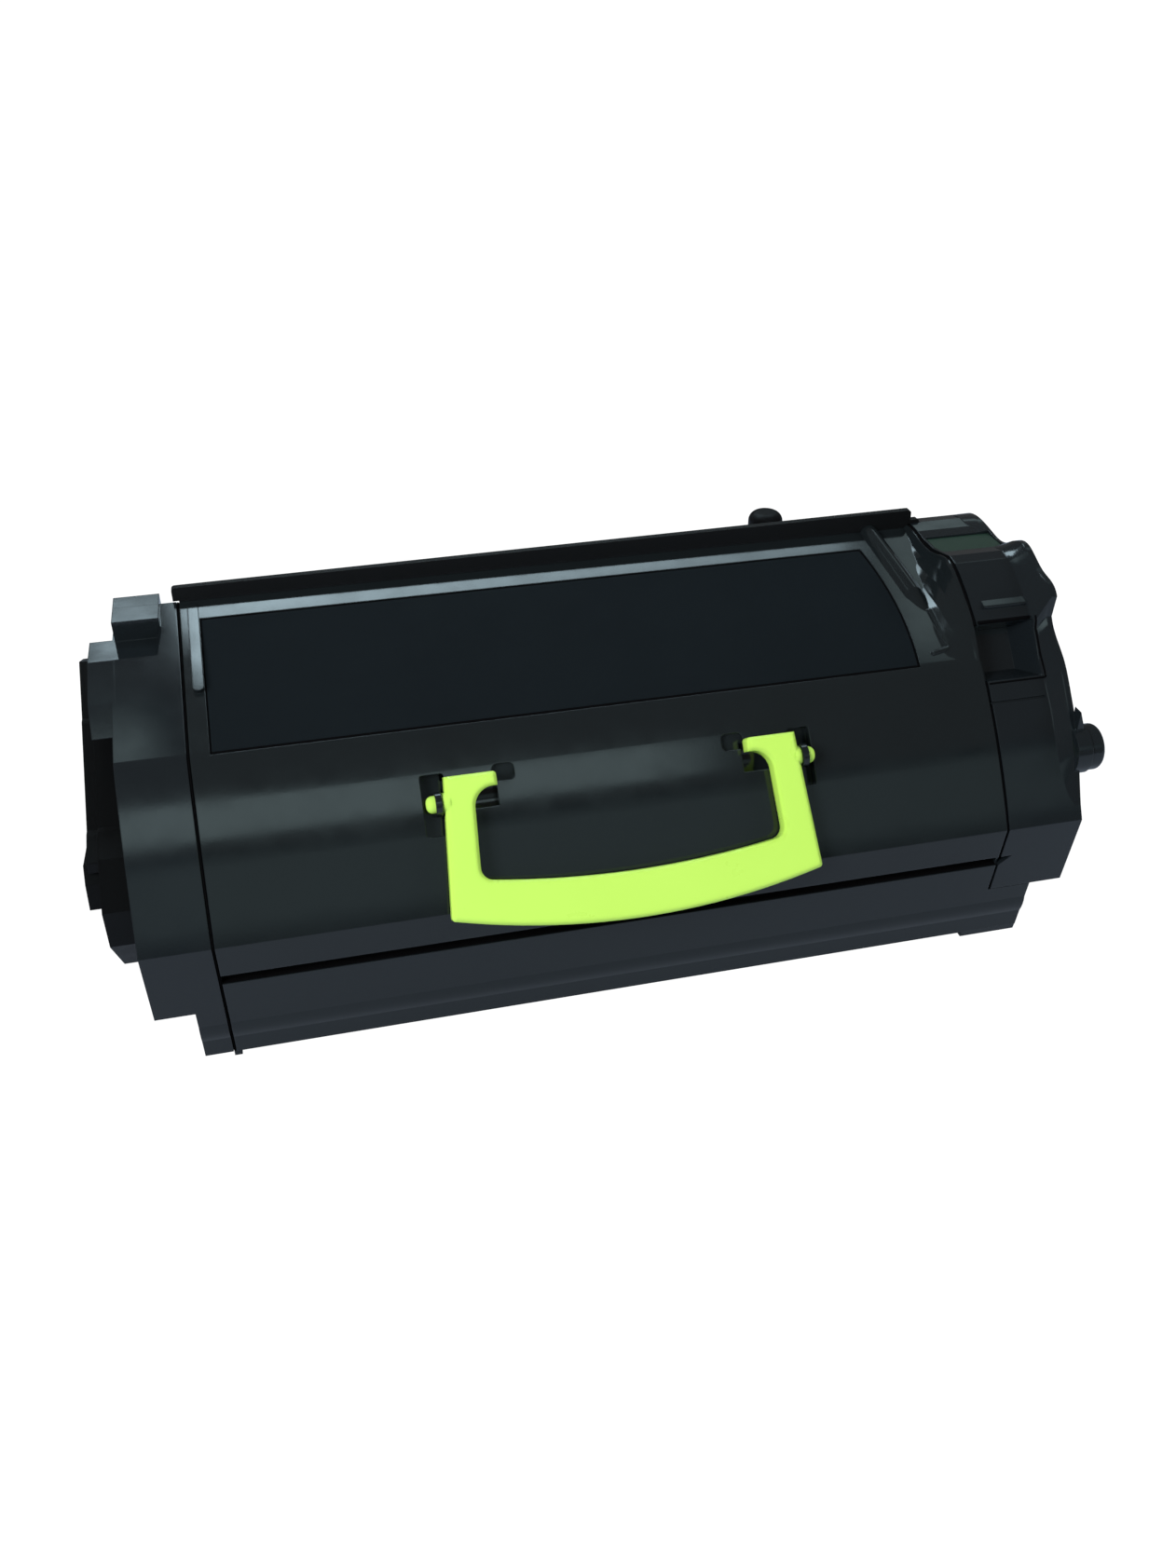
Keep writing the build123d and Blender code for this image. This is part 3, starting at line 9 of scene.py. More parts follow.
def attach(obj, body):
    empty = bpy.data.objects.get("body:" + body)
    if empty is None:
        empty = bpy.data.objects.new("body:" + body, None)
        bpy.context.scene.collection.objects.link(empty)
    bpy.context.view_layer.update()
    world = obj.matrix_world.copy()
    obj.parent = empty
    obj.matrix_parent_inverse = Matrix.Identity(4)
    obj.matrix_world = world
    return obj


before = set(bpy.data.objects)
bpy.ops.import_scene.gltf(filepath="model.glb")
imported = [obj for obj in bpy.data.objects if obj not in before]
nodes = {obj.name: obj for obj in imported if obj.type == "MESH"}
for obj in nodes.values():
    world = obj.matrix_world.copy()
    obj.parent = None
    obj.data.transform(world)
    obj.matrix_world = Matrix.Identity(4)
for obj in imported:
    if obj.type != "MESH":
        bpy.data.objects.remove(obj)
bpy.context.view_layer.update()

# Hopper tub: the black tray that holds the toner, injection moulded in polystyrene with its end walls,
# cradle ribs and outlet chute. The mould's fine grain leaves a satin surface with soft reflections,
# two close tones where the melt flowed, and edges slightly rounded by shrinkage.
mm = 0.001


def linear(colour):
    """An sRGB hex colour as linear values."""
    parts = [int(colour[i:i + 2], 16) / 255 for i in (1, 3, 5)]
    return [c / 12.92 if c <= 0.04045 else ((c + 0.055) / 1.055) ** 2.4 for c in parts] + [1.0]


def add(tree, kind, inputs=None, **settings):
    """Adds a node with its settings; an input is a value or the socket that feeds it."""
    node = tree.nodes.new(kind)
    for name, value in settings.items():
        setattr(node, name, value)
    for name, value in (inputs or {}).items():
        if isinstance(value, bpy.types.NodeSocket):
            tree.links.new(value, node.inputs[name])
        else:
            node.inputs[name].default_value = value
    return node


def new_material(name):
    """A material with an empty node tree."""
    material = bpy.data.materials.new(name)
    material.use_nodes = True
    material.node_tree.nodes.clear()
    return material, material.node_tree


def moulded(name, dark, light, roughness, ior=1.50, grain=0.7 * mm, depth=0.004 * mm, edge=0.45 * mm):
    """Injection-moulded plastic: two close tones, a grain of some depth from the mould, and rounded edges."""
    flow_size = 45 * mm
    wear_size = 9 * mm
    swing = 0.03
    material, tree = new_material(name)
    place = add(tree, "ShaderNodeTexCoord").outputs["Object"]
    flow = add(tree, "ShaderNodeTexNoise", {"Vector": place, "Scale": 1 / flow_size, "Detail": 3.0})
    tones = {0: flow.outputs[0], 6: linear(dark), 7: linear(light)}
    tone = add(tree, "ShaderNodeMix", tones, data_type="RGBA")
    wear = add(tree, "ShaderNodeTexNoise", {"Vector": place, "Scale": 1 / wear_size, "Detail": 4.0})
    spread = {"From Min": 0.3, "From Max": 0.7, "To Min": roughness - swing, "To Max": roughness + swing}
    rough = add(tree, "ShaderNodeMapRange", {"Value": wear.outputs[0], **spread})
    spark = add(tree, "ShaderNodeTexNoise", {"Vector": place, "Scale": 1 / grain, "Detail": 2.0})
    soft = add(tree, "ShaderNodeBevel", {"Radius": edge}, samples=4)
    relief = {"Height": spark.outputs[0], "Distance": depth, "Normal": soft.outputs[0]}
    bump = add(tree, "ShaderNodeBump", relief)
    look = {
        "Base Color": tone.outputs[2],
        "Roughness": rough.outputs[0],
        "Normal": bump.outputs[0],
        "IOR": ior,
    }
    shader = add(tree, "ShaderNodeBsdfPrincipled", look)
    add(tree, "ShaderNodeOutputMaterial", {"Surface": shader.outputs[0]})
    return material


def finish_nodes(material, *names):
    """Gives CAD nodes their material."""
    for name in names:
        mesh = nodes[name].data
        mesh.materials.clear()
        mesh.materials.append(material)


black_polystyrene = moulded("black_polystyrene", "#111618", "#14191c", roughness=0.12)
finish_nodes(black_polystyrene, "hopper_tub")

# Top cover: the front wall and the sloping deck in one moulding, dropped over the tub's lap.
# It comes out of the same polystyrene and is polished a little smoother, so it mirrors the lamps
# in one broad band along the swelling front.
cover_polystyrene = moulded("cover_polystyrene", "#111517", "#14191b", roughness=0.11)
finish_nodes(cover_polystyrene, "top_cover")

# Rear cover: the upper back wall with the upright rail along the deck and the filler neck.
# It is moulded in a duller regrind polystyrene with a coarser grain, close to true black.
coarse_grain_depth = 0.008 * mm
rear_polystyrene = moulded(
    "rear_polystyrene", "#0b0c0d", "#0e0f10", roughness=0.45, ior=1.35, depth=coarse_grain_depth
)
finish_nodes(rear_polystyrene, "rear_cover")

# Fill plug: the soft stopper pressed into the filler neck once the hopper is full.
# Black polyethylene, matt and slightly waxy.
plug_polyethylene = moulded("plug_polyethylene", "#050506", "#08080a", roughness=0.55, ior=1.30)
finish_nodes(plug_polyethylene, "fill_plug")

# Front groove: the gap between the cover's lip and the tub's skirt. A strip of the black foam material on the
# tub's lap
# is painted shade: it stands in for the deep shadow in the groove.
foam_cell = 0.4 * mm
# This near-black foam material serves the real exit seal, and also every strip and cord of painted shade:
# groove, label edge, seams and pocket.
foam_and_painted_shade, tree = new_material("black_foam_and_painted_shade")
place = add(tree, "ShaderNodeTexCoord").outputs["Object"]
cells = add(tree, "ShaderNodeTexVoronoi", {"Vector": place, "Scale": 1 / foam_cell})
tones = {0: cells.outputs[0], 6: linear("#060607"), 7: linear("#0b0b0c")}
tone = add(tree, "ShaderNodeMix", tones, data_type="RGBA")
shader = add(tree, "ShaderNodeBsdfPrincipled", {"Base Color": tone.outputs[2], "Roughness": 1.0, "IOR": 1.02})
add(tree, "ShaderNodeOutputMaterial", {"Surface": shader.outputs[0]})

groove_low = 36.02 * mm
groove_high = 40.6 * mm
groove_half = 130.8 * mm
lap_inset = 2.6 * mm
shade_strip_thickness = 0.4 * mm
shade_strip_setback = 0.35 * mm
crease_y = -58.0 * mm
crease_z = 52.5 * mm
front_lean = radians(9.0)


def piece(name, mesh, material, body="housing"):
    """A finished piece at the origin, riding on a body, in the material it is given."""
    mesh.materials.clear()
    mesh.materials.append(material)
    made = bpy.data.objects.new(name, mesh)
    bpy.context.scene.collection.objects.link(made)
    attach(made, body)


def front_y(z):
    """Y of the front, which leans back below its crease, at height z."""
    return crease_y + (crease_z - z) * tan(front_lean)


def slab(name, lower, upper):
    """A closed mesh between two loops of the same number of points."""
    count = len(lower)
    faces = [tuple(reversed(range(count))), tuple(range(count, 2 * count))]
    faces += [(i, (i + 1) % count, count + (i + 1) % count, count + i) for i in range(count)]
    mesh = bpy.data.meshes.new(name)
    mesh.from_pydata([tuple(p) for p in lower + upper], [], faces)
    shape = bmesh.new()
    shape.from_mesh(mesh)
    bmesh.ops.recalc_face_normals(shape, faces=shape.faces)
    shape.to_mesh(mesh)
    shape.free()
    return mesh


low_y = front_y(groove_low)
high_y = front_y(groove_high)
shade_strip_section = [
    (low_y + shade_strip_setback, groove_low),
    (low_y + shade_strip_setback, groove_low + shade_strip_thickness),
    (low_y + lap_inset - shade_strip_thickness, groove_low + shade_strip_thickness),
    (high_y + lap_inset - shade_strip_thickness, groove_high),
    (high_y + lap_inset, groove_high),
    (low_y + lap_inset, groove_low),
]
shade_strip = [[(x, y, z) for y, z in shade_strip_section] for x in (-groove_half, groove_half)]
piece("groove_shade_strip", slab("groove_shade_strip", *shade_strip), foam_and_painted_shade)

# Label: a bare black film in the deck's recess, left unprinted. Its own surface is dead matt, so the
# overhead lamp that whitens the glossy deck round it hardly shows.
film_grain = 1.2 * mm
thin_edge = 0.1 * mm
label_film = moulded(
    "label_film", "#101417", "#13181b", roughness=0.60, ior=1.08, grain=film_grain, edge=thin_edge
)
finish_nodes(label_film, "label")

# Label edge shade: thin black cords laid just under the deck along the film's edge all round, in the black
# foam material.
# They are painted shade: the dark line between the film and the wall of its recess, where shadow falls.
deck_slope = radians(17.25)
deck_along = Vector((0, cos(deck_slope), sin(deck_slope)))
deck_out = Vector((0, -sin(deck_slope), cos(deck_slope)))
deck_start = Vector((0, -22.4 * mm, 98.9 * mm))
edge_shade_left = -124.65 * mm
edge_shade_right = 108.95 * mm
edge_shade_high = 60.25 * mm
edge_shade_low = 1.20 * mm
edge_shade_bow = 3.0 * mm
bow_steps = 24
edge_shade_r = 0.25 * mm
edge_shade_low_r = 0.55 * mm
edge_shade_depth = 0.44 * mm
edge_shade_low_depth = 0.52 * mm


def cord_tree():
    """A Geometry Nodes tree that lays a round cord along the edges of a mesh."""
    tree = bpy.data.node_groups.new("cord", "GeometryNodeTree")
    tree.interface.new_socket("Geometry", in_out="INPUT", socket_type="NodeSocketGeometry")
    tree.interface.new_socket("Radius", in_out="INPUT", socket_type="NodeSocketFloat")
    tree.interface.new_socket("Spacing", in_out="INPUT", socket_type="NodeSocketFloat")
    tree.interface.new_socket("Material", in_out="INPUT", socket_type="NodeSocketMaterial")
    tree.interface.new_socket("Geometry", in_out="OUTPUT", socket_type="NodeSocketGeometry")
    given = add(tree, "NodeGroupInput").outputs
    path = add(tree, "GeometryNodeMeshToCurve", {"Mesh": given["Geometry"]})
    even = add(tree, "GeometryNodeResampleCurve", {"Curve": path.outputs[0]}, mode="LENGTH")
    tree.links.new(given["Spacing"], even.inputs["Length"])
    ring = {"Resolution": 10, "Radius": given["Radius"]}
    section = add(tree, "GeometryNodeCurvePrimitiveCircle", ring).outputs[0]
    sweep = {"Curve": even.outputs[0], "Profile Curve": section, "Fill Caps": True}
    swept = add(tree, "GeometryNodeCurveToMesh", sweep)
    real = add(tree, "GeometryNodeRealizeInstances", {"Geometry": swept.outputs[0]})
    paint = {"Geometry": real.outputs[0], "Material": given["Material"]}
    painted = add(tree, "GeometryNodeSetMaterial", paint)
    add(tree, "NodeGroupOutput", {"Geometry": painted.outputs[0]})
    return tree


cord_nodes = cord_tree()


def cord(name, points, radius, closed, material, spacing=1.2 * mm):
    """A round cord along a run of points, made by the cord tree and turned into a plain mesh."""
    count = len(points)
    edges = [(i, (i + 1) % count) for i in range(count if closed else count - 1)]
    path = bpy.data.meshes.new(name + "_path")
    path.from_pydata([tuple(p) for p in points], edges, [])
    carrier = bpy.data.objects.new(name + "_path", path)
    bpy.context.scene.collection.objects.link(carrier)
    modifier = carrier.modifiers.new("cord", "NODES")
    modifier.node_group = cord_nodes
    values = {"Radius": radius, "Spacing": spacing, "Material": material}
    for item in cord_nodes.interface.items_tree:
        if item.in_out == "INPUT" and item.name in values:
            modifier[item.identifier] = values[item.name]
    ready = carrier.evaluated_get(bpy.context.evaluated_depsgraph_get())
    mesh = bpy.data.meshes.new_from_object(ready)
    carrier.modifiers.remove(modifier)
    bpy.data.objects.remove(carrier)
    piece(name, mesh, material)


def in_deck(u, v, depth):
    """A place at some depth under the deck: u along X, v up the slope."""
    return deck_start + Vector((u, 0, 0)) + deck_along * v - deck_out * depth


run = []
for i in range(bow_steps + 1):
    share = i / bow_steps
    bow = edge_shade_bow * 4 * share * (1 - share)
    run.append((edge_shade_right + bow, edge_shade_low + (edge_shade_high - edge_shade_low) * share))
run += [(edge_shade_left, edge_shade_high), (edge_shade_left, edge_shade_low)]
cord("label_edge_shade", [in_deck(u, v, edge_shade_depth) for u, v in run], edge_shade_r, False, foam_and_painted_shade)
run = [(edge_shade_left, edge_shade_low), (edge_shade_right, edge_shade_low)]
cord("label_edge_shade_low", [in_deck(u, v, edge_shade_low_depth) for u, v in run], edge_shade_low_r, False, foam_and_painted_shade)

# Left end cap: the housing of the gear train, screwed on over the hopper's end.
# Black ABS with the same fine grain, a touch glossier than the hopper.
black_abs = moulded("black_abs", "#111518", "#14191c", roughness=0.12)
finish_nodes(black_abs, "left_end_cap")

# Seam cords: round cords in the black foam material, laid in the gaps between the hopper and its end caps as
# painted shade for the shadow in each gap.
# Each follows the section of its cap, just under the skin, and shows as a black line.
cord_r = 0.46 * mm
cord_inset = 0.60 * mm
seam_middle = 131.5 * mm
rim_depth = 0.8 * mm


def section_outline(node, x):
    """The outermost loop of a node's section at x, as points in Y and Z."""
    cut = bmesh.new()
    cut.from_mesh(nodes[node].data)
    cut.transform(nodes[node].matrix_world)
    geometry = cut.verts[:] + cut.edges[:] + cut.faces[:]
    found = bmesh.ops.bisect_plane(cut, geom=geometry, plane_co=(x, 0, 0), plane_no=(1, 0, 0))["geom_cut"]
    near = {}
    for item in found:
        if isinstance(item, bmesh.types.BMEdge):
            a, b = [(round(v.co.y, 6), round(v.co.z, 6)) for v in item.verts]
            if a != b:
                near.setdefault(a, []).append(b)
                near.setdefault(b, []).append(a)
    cut.free()
    start = min(near, key=lambda p: p[0])
    loop = [start]
    before = None
    here = start
    while True:
        onward = [p for p in near[here] if p != before]
        before, here = here, onward[0]
        if here == start:
            return loop
        loop.append(here)


def inset_loop(loop, inset):
    """A closed loop moved inwards."""
    area = sum(a[0] * b[1] - b[0] * a[1] for a, b in zip(loop, loop[1:] + loop[:1]))
    turn = 1 if area > 0 else -1
    moved = []
    for before, here, after in zip(loop[-1:] + loop[:-1], loop, loop[1:] + loop[:1]):
        run = (Vector(after) - Vector(before)).normalized()
        moved.append(Vector(here) + Vector((-run.y, run.x)) * inset * turn)
    return moved


left_loop = inset_loop(section_outline("left_end_cap", -seam_middle - rim_depth), cord_inset)
cord("left_seam_shade_cord", [(-seam_middle, p.x, p.y) for p in left_loop], cord_r, True, foam_and_painted_shade)

# Gear cover: the outer lid over the gear train, with the collar round the drive coupler and the guide lug.
# A duller black ABS, spark eroded, that shows hardly any reflection. Its tone, darker than the end caps', is
# painted shade for this left side, which faces away from the light.
cover_abs_and_painted_shade = moulded("cover_abs_and_painted_shade", "#08090a", "#0b0c0d", roughness=0.45, ior=1.25, depth=coarse_grain_depth)
finish_nodes(cover_abs_and_painted_shade, "gear_cover")

# Right end cap: the housing at the outlet end, with the shoulder, the finger pocket and the guide pin.
# The same black ABS as the left one. Its seam cord of painted shade stays open over the outlet chute.
finish_nodes(black_abs, "right_end_cap")
right_loop = inset_loop(section_outline("right_end_cap", seam_middle + rim_depth), cord_inset)
chute_back = -11.0 * mm
chute_top = 26.5 * mm
start = next(i for i, p in enumerate(right_loop) if p.x < chute_back and p.y < chute_top)
right_loop = right_loop[start:] + right_loop[:start]
shown = [p for p in right_loop if not (p.x < chute_back and p.y < chute_top)]
cord("right_seam_shade_cord", [(seam_middle, p.x, p.y) for p in shown], cord_r, False, foam_and_painted_shade)

# Pocket shade: the finger pocket is a liner snapped into the cap. Black cords on the cap round it are painted
# shade for the
# shadow in the joint: a black line at the side and below, and a wider line above.
pocket_top = Vector((-14.6 * mm, 108.4 * mm))
pocket_low = Vector((-28.0 * mm, 93.6 * mm))
pocket_left = 132.5 * mm
pocket_right = 152.5 * mm
outline_shade_margin = 0.7 * mm
outline_shade_r = 0.34 * mm
top_shade_r = 0.65 * mm
top_shade_short = 1.5 * mm
outline_shade_spacing = 0.8 * mm
outline_shade_sunk = 0.06 * mm
ray_height = 8 * mm
side_steps = 16
cross_steps = 12
cap_surface = BVHTree.FromObject(nodes["right_end_cap"], bpy.context.evaluated_depsgraph_get())


def on_cap(x, v):
    """A place on the cap's surface over the pocket's plane; v runs up the slope."""
    run = (pocket_top - pocket_low).normalized()
    base = pocket_low + run * v
    out = Vector((0, -run.y, run.x))
    start = Vector((x, base.x, base.y)) + out * ray_height
    hit = cap_surface.ray_cast(start, -out)[0]
    return hit - out * outline_shade_sunk


slope_length = (pocket_top - pocket_low).length
side_x = pocket_right + outline_shade_margin
low_v = -outline_shade_margin
top_v = slope_length + outline_shade_margin
outline_shade = [on_cap(side_x, top_v + (low_v - top_v) * i / side_steps) for i in range(side_steps + 1)]
outline_shade += [on_cap(side_x + (pocket_left - side_x) * i / cross_steps, low_v) for i in range(1, cross_steps + 1)]
cord("pocket_outline_shade", outline_shade, outline_shade_r, False, foam_and_painted_shade, spacing=outline_shade_spacing)
top_shade_length = side_x - top_shade_short - pocket_left
top_shade = [on_cap(pocket_left + top_shade_length * i / cross_steps, top_v) for i in range(cross_steps + 1)]
cord("pocket_top_shade", top_shade, top_shade_r, False, foam_and_painted_shade, spacing=outline_shade_spacing)

# Chip board: the memory board glued in its seat on the right cap, a thin glass-fibre laminate.
# Its dark green with a low gloss is a painted reflection, standing in for the green tint mirrored on this
# face.
painted_green_reflection = moulded("painted_green_reflection", "#13261c", "#192d22", roughness=0.35, edge=thin_edge)
finish_nodes(painted_green_reflection, "chip_board")

# Handle: the folding carrying handle, moulded in yellow-green polypropylene.
# The strong colour glows a little at the edges; the surface is smooth with a broad soft highlight.
grip_edge = 2.2 * mm
handle_plastic = moulded("handle_polypropylene", "#b4e058", "#bbe660", roughness=0.30, edge=grip_edge)
finish_nodes(handle_plastic, "handle")

# Gear train: drive coupler, idlers, agitator and auger gears, all of natural acetal.
# Milky white, slightly waxy, with a light film of grease that evens out the gloss.
acetal = moulded("natural_acetal", "#dad8ce", "#e2e0d6", roughness=0.35, ior=1.48)
finish_nodes(acetal, "drive_coupler", "upper_idler_gear", "lower_idler_gear", "agitator_gear", "auger_gear")
finish_nodes(acetal, "auger_bush", "agitator_bushes")

# Agitator and auger: the stirrer on its shaft and the screw that moves the toner to the outlet.
# Dark grey polystyrene, dulled by toner dust.
stirrer_plastic = moulded("stirrer_plastic", "#3a3b3e", "#424346", roughness=0.45, ior=1.48)
finish_nodes(stirrer_plastic, "agitator_frame", "encoder_wheel", "auger")

# Wiping blade: a strip cut from clear polyester film and glued to the stirrer, which wipes the hopper's drum.
# Colourless and glossy, made a little milky by the toner that rubs it.
blade_film, tree = new_material("blade_film")
film = {"Base Color": linear("#ccd0cc"), "Roughness": 0.18, "IOR": 1.57, "Transmission Weight": 0.6}
shader = add(tree, "ShaderNodeBsdfPrincipled", film)
add(tree, "ShaderNodeOutputMaterial", {"Surface": shader.outputs[0]})
finish_nodes(blade_film, "agitator_blade")

# Shaft seals: rings of pressed wool felt round the agitator's shaft that keep the toner in.
# Off-white and quite without gloss.
fibre = 0.3 * mm
fibre_depth = 0.05 * mm
felt = moulded("wool_felt", "#c8c5bb", "#d4d1c8", roughness=0.95, ior=1.30, grain=fibre, depth=fibre_depth)
finish_nodes(felt, "shaft_seals")

# Exit seal: a square frame of black foam glued round the outlet port, on which the shutter slides.
# The same foam material that paints the shade in the front groove.
finish_nodes(foam_and_painted_shade, "exit_seal")

# Exit shutter: the plate that slides over the outlet port under the right end.
# Black acetal, matt.
finish_nodes(cover_abs_and_painted_shade, "exit_shutter")

# Steel parts: the agitator shaft and the idler pins, ground bright, and the zinc-plated screws.
# The grinding leaves fine lines round the axis, which spread the highlight.
line_width = 0.15 * mm
line_length = 6 * mm
steel, tree = new_material("ground_steel")
place = add(tree, "ShaderNodeTexCoord").outputs["Object"]
stretch = (1 / line_width, 1 / line_length, 1 / line_length)
lines = add(tree, "ShaderNodeMapping", {"Vector": place, "Scale": stretch})
marks = add(tree, "ShaderNodeTexNoise", {"Vector": lines.outputs[0], "Scale": 1.0, "Detail": 2.0})
rough = add(tree, "ShaderNodeMapRange", {"Value": marks.outputs[0], "To Min": 0.22, "To Max": 0.42})
metal = {"Base Color": linear("#b9bbbd"), "Metallic": 1.0, "Roughness": rough.outputs[0]}
shader = add(tree, "ShaderNodeBsdfPrincipled", metal)
add(tree, "ShaderNodeOutputMaterial", {"Surface": shader.outputs[0]})
finish_nodes(steel, "agitator_shaft", "upper_idler_pin", "lower_idler_pin")
finish_nodes(steel, "gear_cover_screws", "left_cap_screws", "right_cap_screws")

# Backdrop: a sheet of white paper under the cartridge. The camera sees it nearly pure white, as in the
# photograph, with a faint shadow; towards the object it is as bright as grey card.
reach = 14.0
floor_gap = 0.3 * mm
floor_mesh = bpy.data.meshes.new("floor")
corners = [(-reach, -reach, 0), (reach, -reach, 0), (reach, reach, 0), (-reach, reach, 0)]
floor_mesh.from_pydata(corners, [], [(0, 1, 2, 3)])
floor = bpy.data.objects.new("floor", floor_mesh)
floor.location.z = -floor_gap
bpy.context.scene.collection.objects.link(floor)
paper, tree = new_material("white_paper")
path = add(tree, "ShaderNodeLightPath").outputs
seen = add(tree, "ShaderNodeMath", {0: path["Is Camera Ray"], 1: path["Is Transmission Ray"]}, operation="ADD")
lit = add(tree, "ShaderNodeBsdfDiffuse", {"Color": linear("#98a2b0")})
glow = add(tree, "ShaderNodeEmission", {"Color": (1, 1, 1, 1), "Strength": 1.10})
white = add(tree, "ShaderNodeMixShader", {"Fac": 0.95, 1: lit.outputs[0], 2: glow.outputs[0]})
sides = {"Fac": seen.outputs[0], 1: lit.outputs[0], 2: white.outputs[0]}
shown_paper = add(tree, "ShaderNodeMixShader", sides)
add(tree, "ShaderNodeOutputMaterial", {"Surface": shown_paper.outputs[0]})
floor_mesh.materials.append(paper)


# Light cards: large soft boxes that show only as reflections and fill. Each glows on the side of the
# object, changes evenly from its left edge to its right one, and fades at its rim.
def card(name, place, aim, width, height, left, right, colour, fade_x, fade_y):
    """A glowing card at a place, facing a point, with a strength at each end and the width of its fades."""
    level_card = 1e-3
    out = (Vector(aim) - Vector(place)).normalized()
    across = (Vector((1, 0, 0)) - out * out.x).normalized()
    up = across.cross(out)
    if abs(up.z) < level_card:
        up = Vector((0, 1, 0))
    elif up.z < 0:
        up = -up
    mesh = bpy.data.meshes.new(name)
    ends = [(-0.5, -0.5), (0.5, -0.5), (0.5, 0.5), (-0.5, 0.5)]
    spots = [Vector(place) + across * a * width + up * b * height for a, b in ends]
    mesh.from_pydata([tuple(p) for p in spots], [], [(0, 1, 2, 3)])
    sheet = mesh.uv_layers.new(name="card")
    for loop, (a, b) in zip(sheet.data, ends):
        loop.uv = (a + 0.5, b + 0.5)
    material, tree = new_material(name)
    spot = add(tree, "ShaderNodeSeparateXYZ", {0: add(tree, "ShaderNodeTexCoord").outputs["UV"]}).outputs

    def step(value, low, high, bottom, top):
        """A smooth step of a value."""
        inputs = {"Value": value, "From Min": low, "From Max": high, "To Min": bottom, "To Max": top}
        return add(tree, "ShaderNodeMapRange", inputs, interpolation_type="SMOOTHSTEP").outputs[0]

    def times(a, b):
        """The product of two values."""
        return add(tree, "ShaderNodeMath", {0: a, 1: b}, operation="MULTIPLY").outputs[0]

    sweep = {"Value": spot[0], "To Min": left, "To Max": right}
    level = add(tree, "ShaderNodeMapRange", sweep).outputs[0]
    x_share = fade_x / width
    y_share = fade_y / height
    level = times(level, step(spot[0], 0.0, x_share, 0.0, 1.0))
    level = times(level, step(spot[0], 1.0 - x_share, 1.0, 1.0, 0.0))
    level = times(level, step(spot[1], 0.0, y_share, 0.0, 1.0))
    level = times(level, step(spot[1], 1.0 - y_share, 1.0, 1.0, 0.0))
    glow = add(tree, "ShaderNodeEmission", {"Color": (*colour, 1.0), "Strength": level})
    add(tree, "ShaderNodeOutputMaterial", {"Surface": glow.outputs[0]})
    mesh.materials.append(material)
    made = bpy.data.objects.new(name, mesh)
    made.visible_camera = False
    bpy.context.scene.collection.objects.link(made)


def key(name, place, size, radiance):
    """A square lamp towards the object's middle that lights it without showing in its gloss."""
    middle = Vector((0, 0, 60 * mm))
    lamp = bpy.data.lights.new(name, "AREA")
    lamp.shape = "SQUARE"
    lamp.size = size
    lamp.energy = radiance * size * size * pi
    box = bpy.data.objects.new(name, lamp)
    box.location = place
    box.rotation_euler = (Vector(place) - middle).to_track_quat("Z", "Y").to_euler()
    box.visible_camera = False
    box.visible_glossy = False
    bpy.context.scene.collection.objects.link(box)


steel_blue = (0.69, 0.90, 1.0)
slate = (0.74, 0.97, 1.0)
card(
    "deck_card", place=(0.081, 0.345, 0.55), aim=(0.081, 0.345, 0.0), width=0.506, height=0.166,
    left=9.6, right=3.0, colour=steel_blue, fade_x=0.012, fade_y=0.01,
)
card(
    "deck_card_right", place=(0.38, 0.26, 0.55), aim=(0.38, 0.26, 0.0), width=0.14, height=0.20,
    left=1.1, right=0.8, colour=slate, fade_x=0.04, fade_y=0.05,
)
card(
    "ledge_card", place=(-0.245, 0.905, 0.55), aim=(-0.245, 0.905, 0.0), width=0.12, height=0.14,
    left=3.4, right=3.0, colour=steel_blue, fade_x=0.02, fade_y=0.02,
)
card(
    "cap_card", place=(0.55, 0.73, 0.55), aim=(0.55, 0.73, 0.0), width=0.22, height=0.18,
    left=0.8, right=0.8, colour=slate, fade_x=0.04, fade_y=0.05,
)
card(
    "front_card", place=(-0.02, -0.825, 0.92), aim=(-0.02, -0.035, 0.085), width=0.90, height=0.23,
    left=1.8, right=1.5, colour=slate, fade_x=0.14, fade_y=0.04,
)
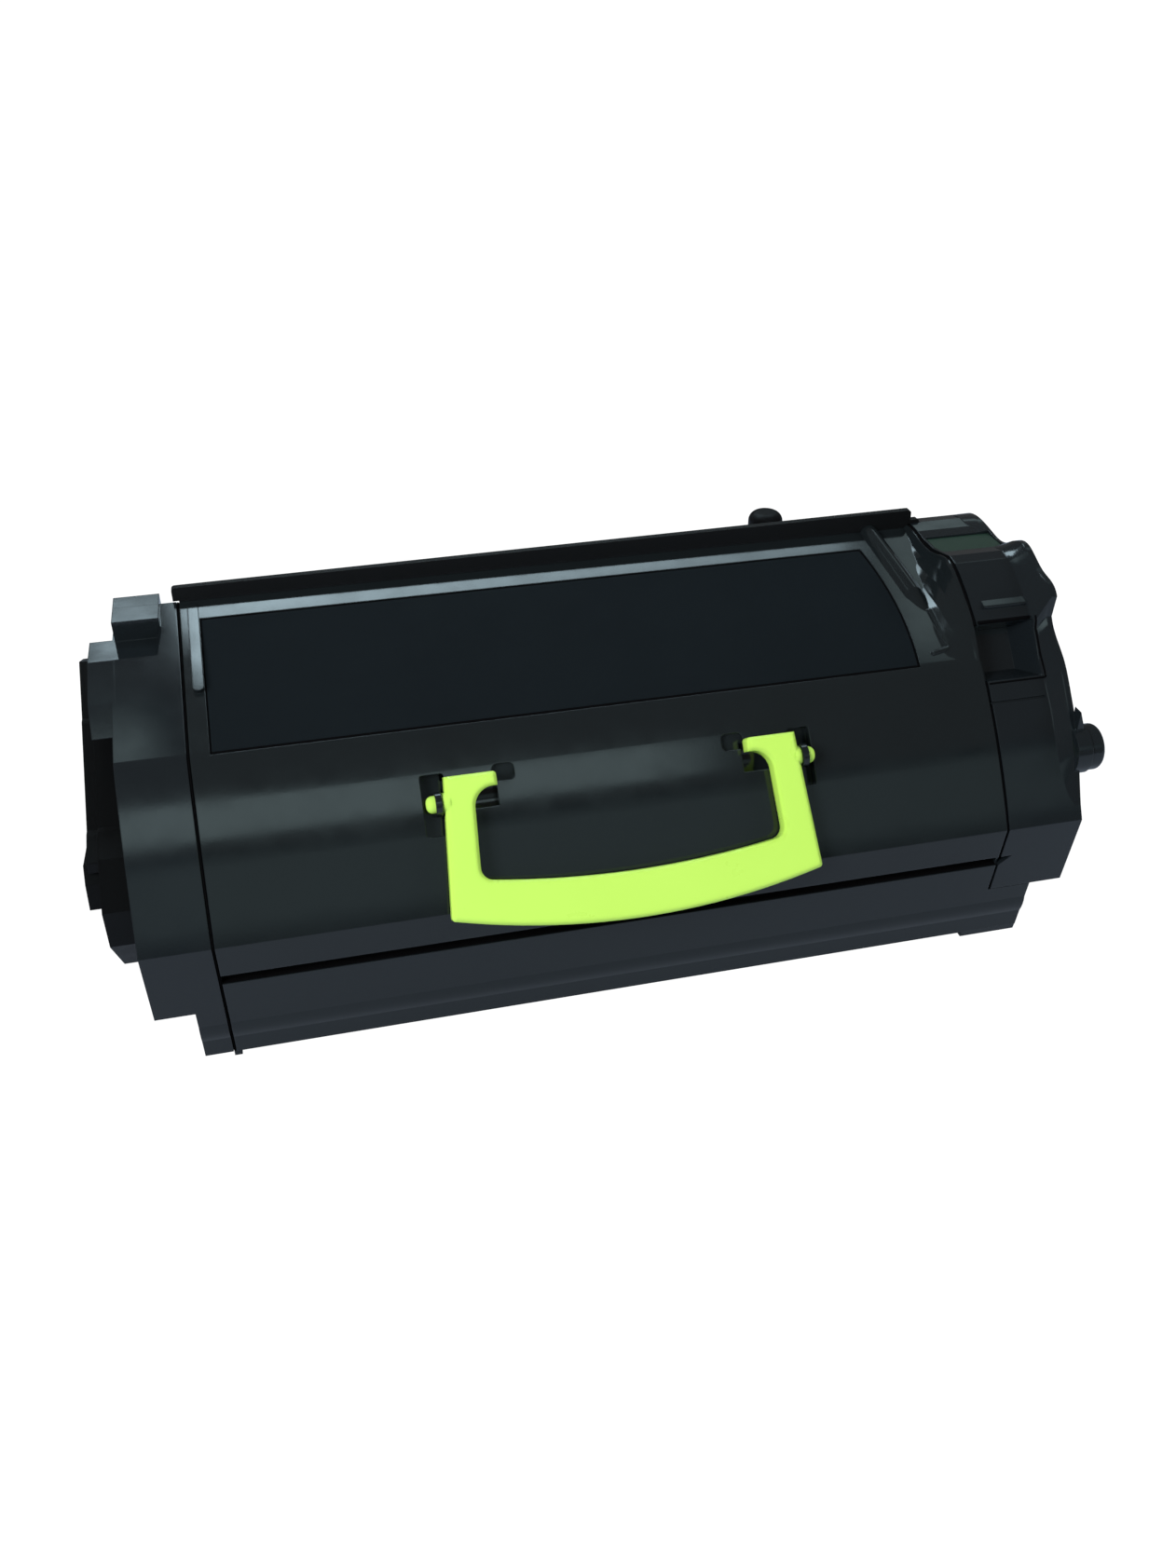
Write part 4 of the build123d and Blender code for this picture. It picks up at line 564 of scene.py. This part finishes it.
card(
    "ridge_card", place=(-0.22, 0.18, 0.55), aim=(-0.22, 0.18, 0.0), width=0.09, height=0.09,
    left=1.2, right=1.2, colour=slate, fade_x=0.03, fade_y=0.03,
)
card(
    "front_foot", place=(0.25, -1.02, 0.62), aim=(0.25, -0.045, 0.075), width=1.30, height=0.42,
    left=0.42, right=0.34, colour=slate, fade_x=0.10, fade_y=0.08,
)
key("key_left", place=(-1.1, -0.75, 0.85), size=0.6, radiance=25.0)
key("key_right", place=(1.3, -0.35, 0.75), size=0.6, radiance=10.0)

# Room: an even grey surround that fills the shadows and is weaker in reflections.
fill_level = 0.22
gloss_share = 0.5
world = bpy.data.worlds.new("studio")
bpy.context.scene.world = world
world.use_nodes = True
tree = world.node_tree
tree.nodes.clear()
path = add(tree, "ShaderNodeLightPath").outputs
level = add(tree, "ShaderNodeMapRange", {"Value": path["Is Camera Ray"], "To Min": fill_level, "To Max": 1.0})
dim = add(tree, "ShaderNodeMapRange", {"Value": path["Is Glossy Ray"], "To Min": 1.0, "To Max": gloss_share})
total = add(tree, "ShaderNodeMath", {0: level.outputs[0], 1: dim.outputs[0]}, operation="MULTIPLY")
sky = add(tree, "ShaderNodeBackground", {"Color": (1, 1, 1, 1), "Strength": total.outputs[0]})
add(tree, "ShaderNodeOutputWorld", {"Surface": sky.outputs[0]})

# Camera: above the left front corner, looking down on the deck, as the photograph was taken.
frame_height_px = 1683
focal_px = 1504.5
sensor_height = 36.0
lens = bpy.data.cameras.new("camera")
lens.sensor_fit = "VERTICAL"
lens.sensor_height = sensor_height
lens.lens = sensor_height * focal_px / frame_height_px
lens.clip_start = 0.01
lens.clip_end = 100.0
camera = bpy.data.objects.new("camera", lens)
turn = radians(13.51)
dip = radians(33.94)
forward = Vector((sin(turn) * cos(dip), cos(turn) * cos(dip), -sin(dip)))
camera.location = (-96.9 * mm, -399.0 * mm, 330.6 * mm)
camera.rotation_euler = (-forward).to_track_quat("Z", "Y").to_euler()
bpy.context.scene.collection.objects.link(camera)
bpy.context.scene.camera = camera
bpy.context.scene.view_settings.view_transform = "Standard"
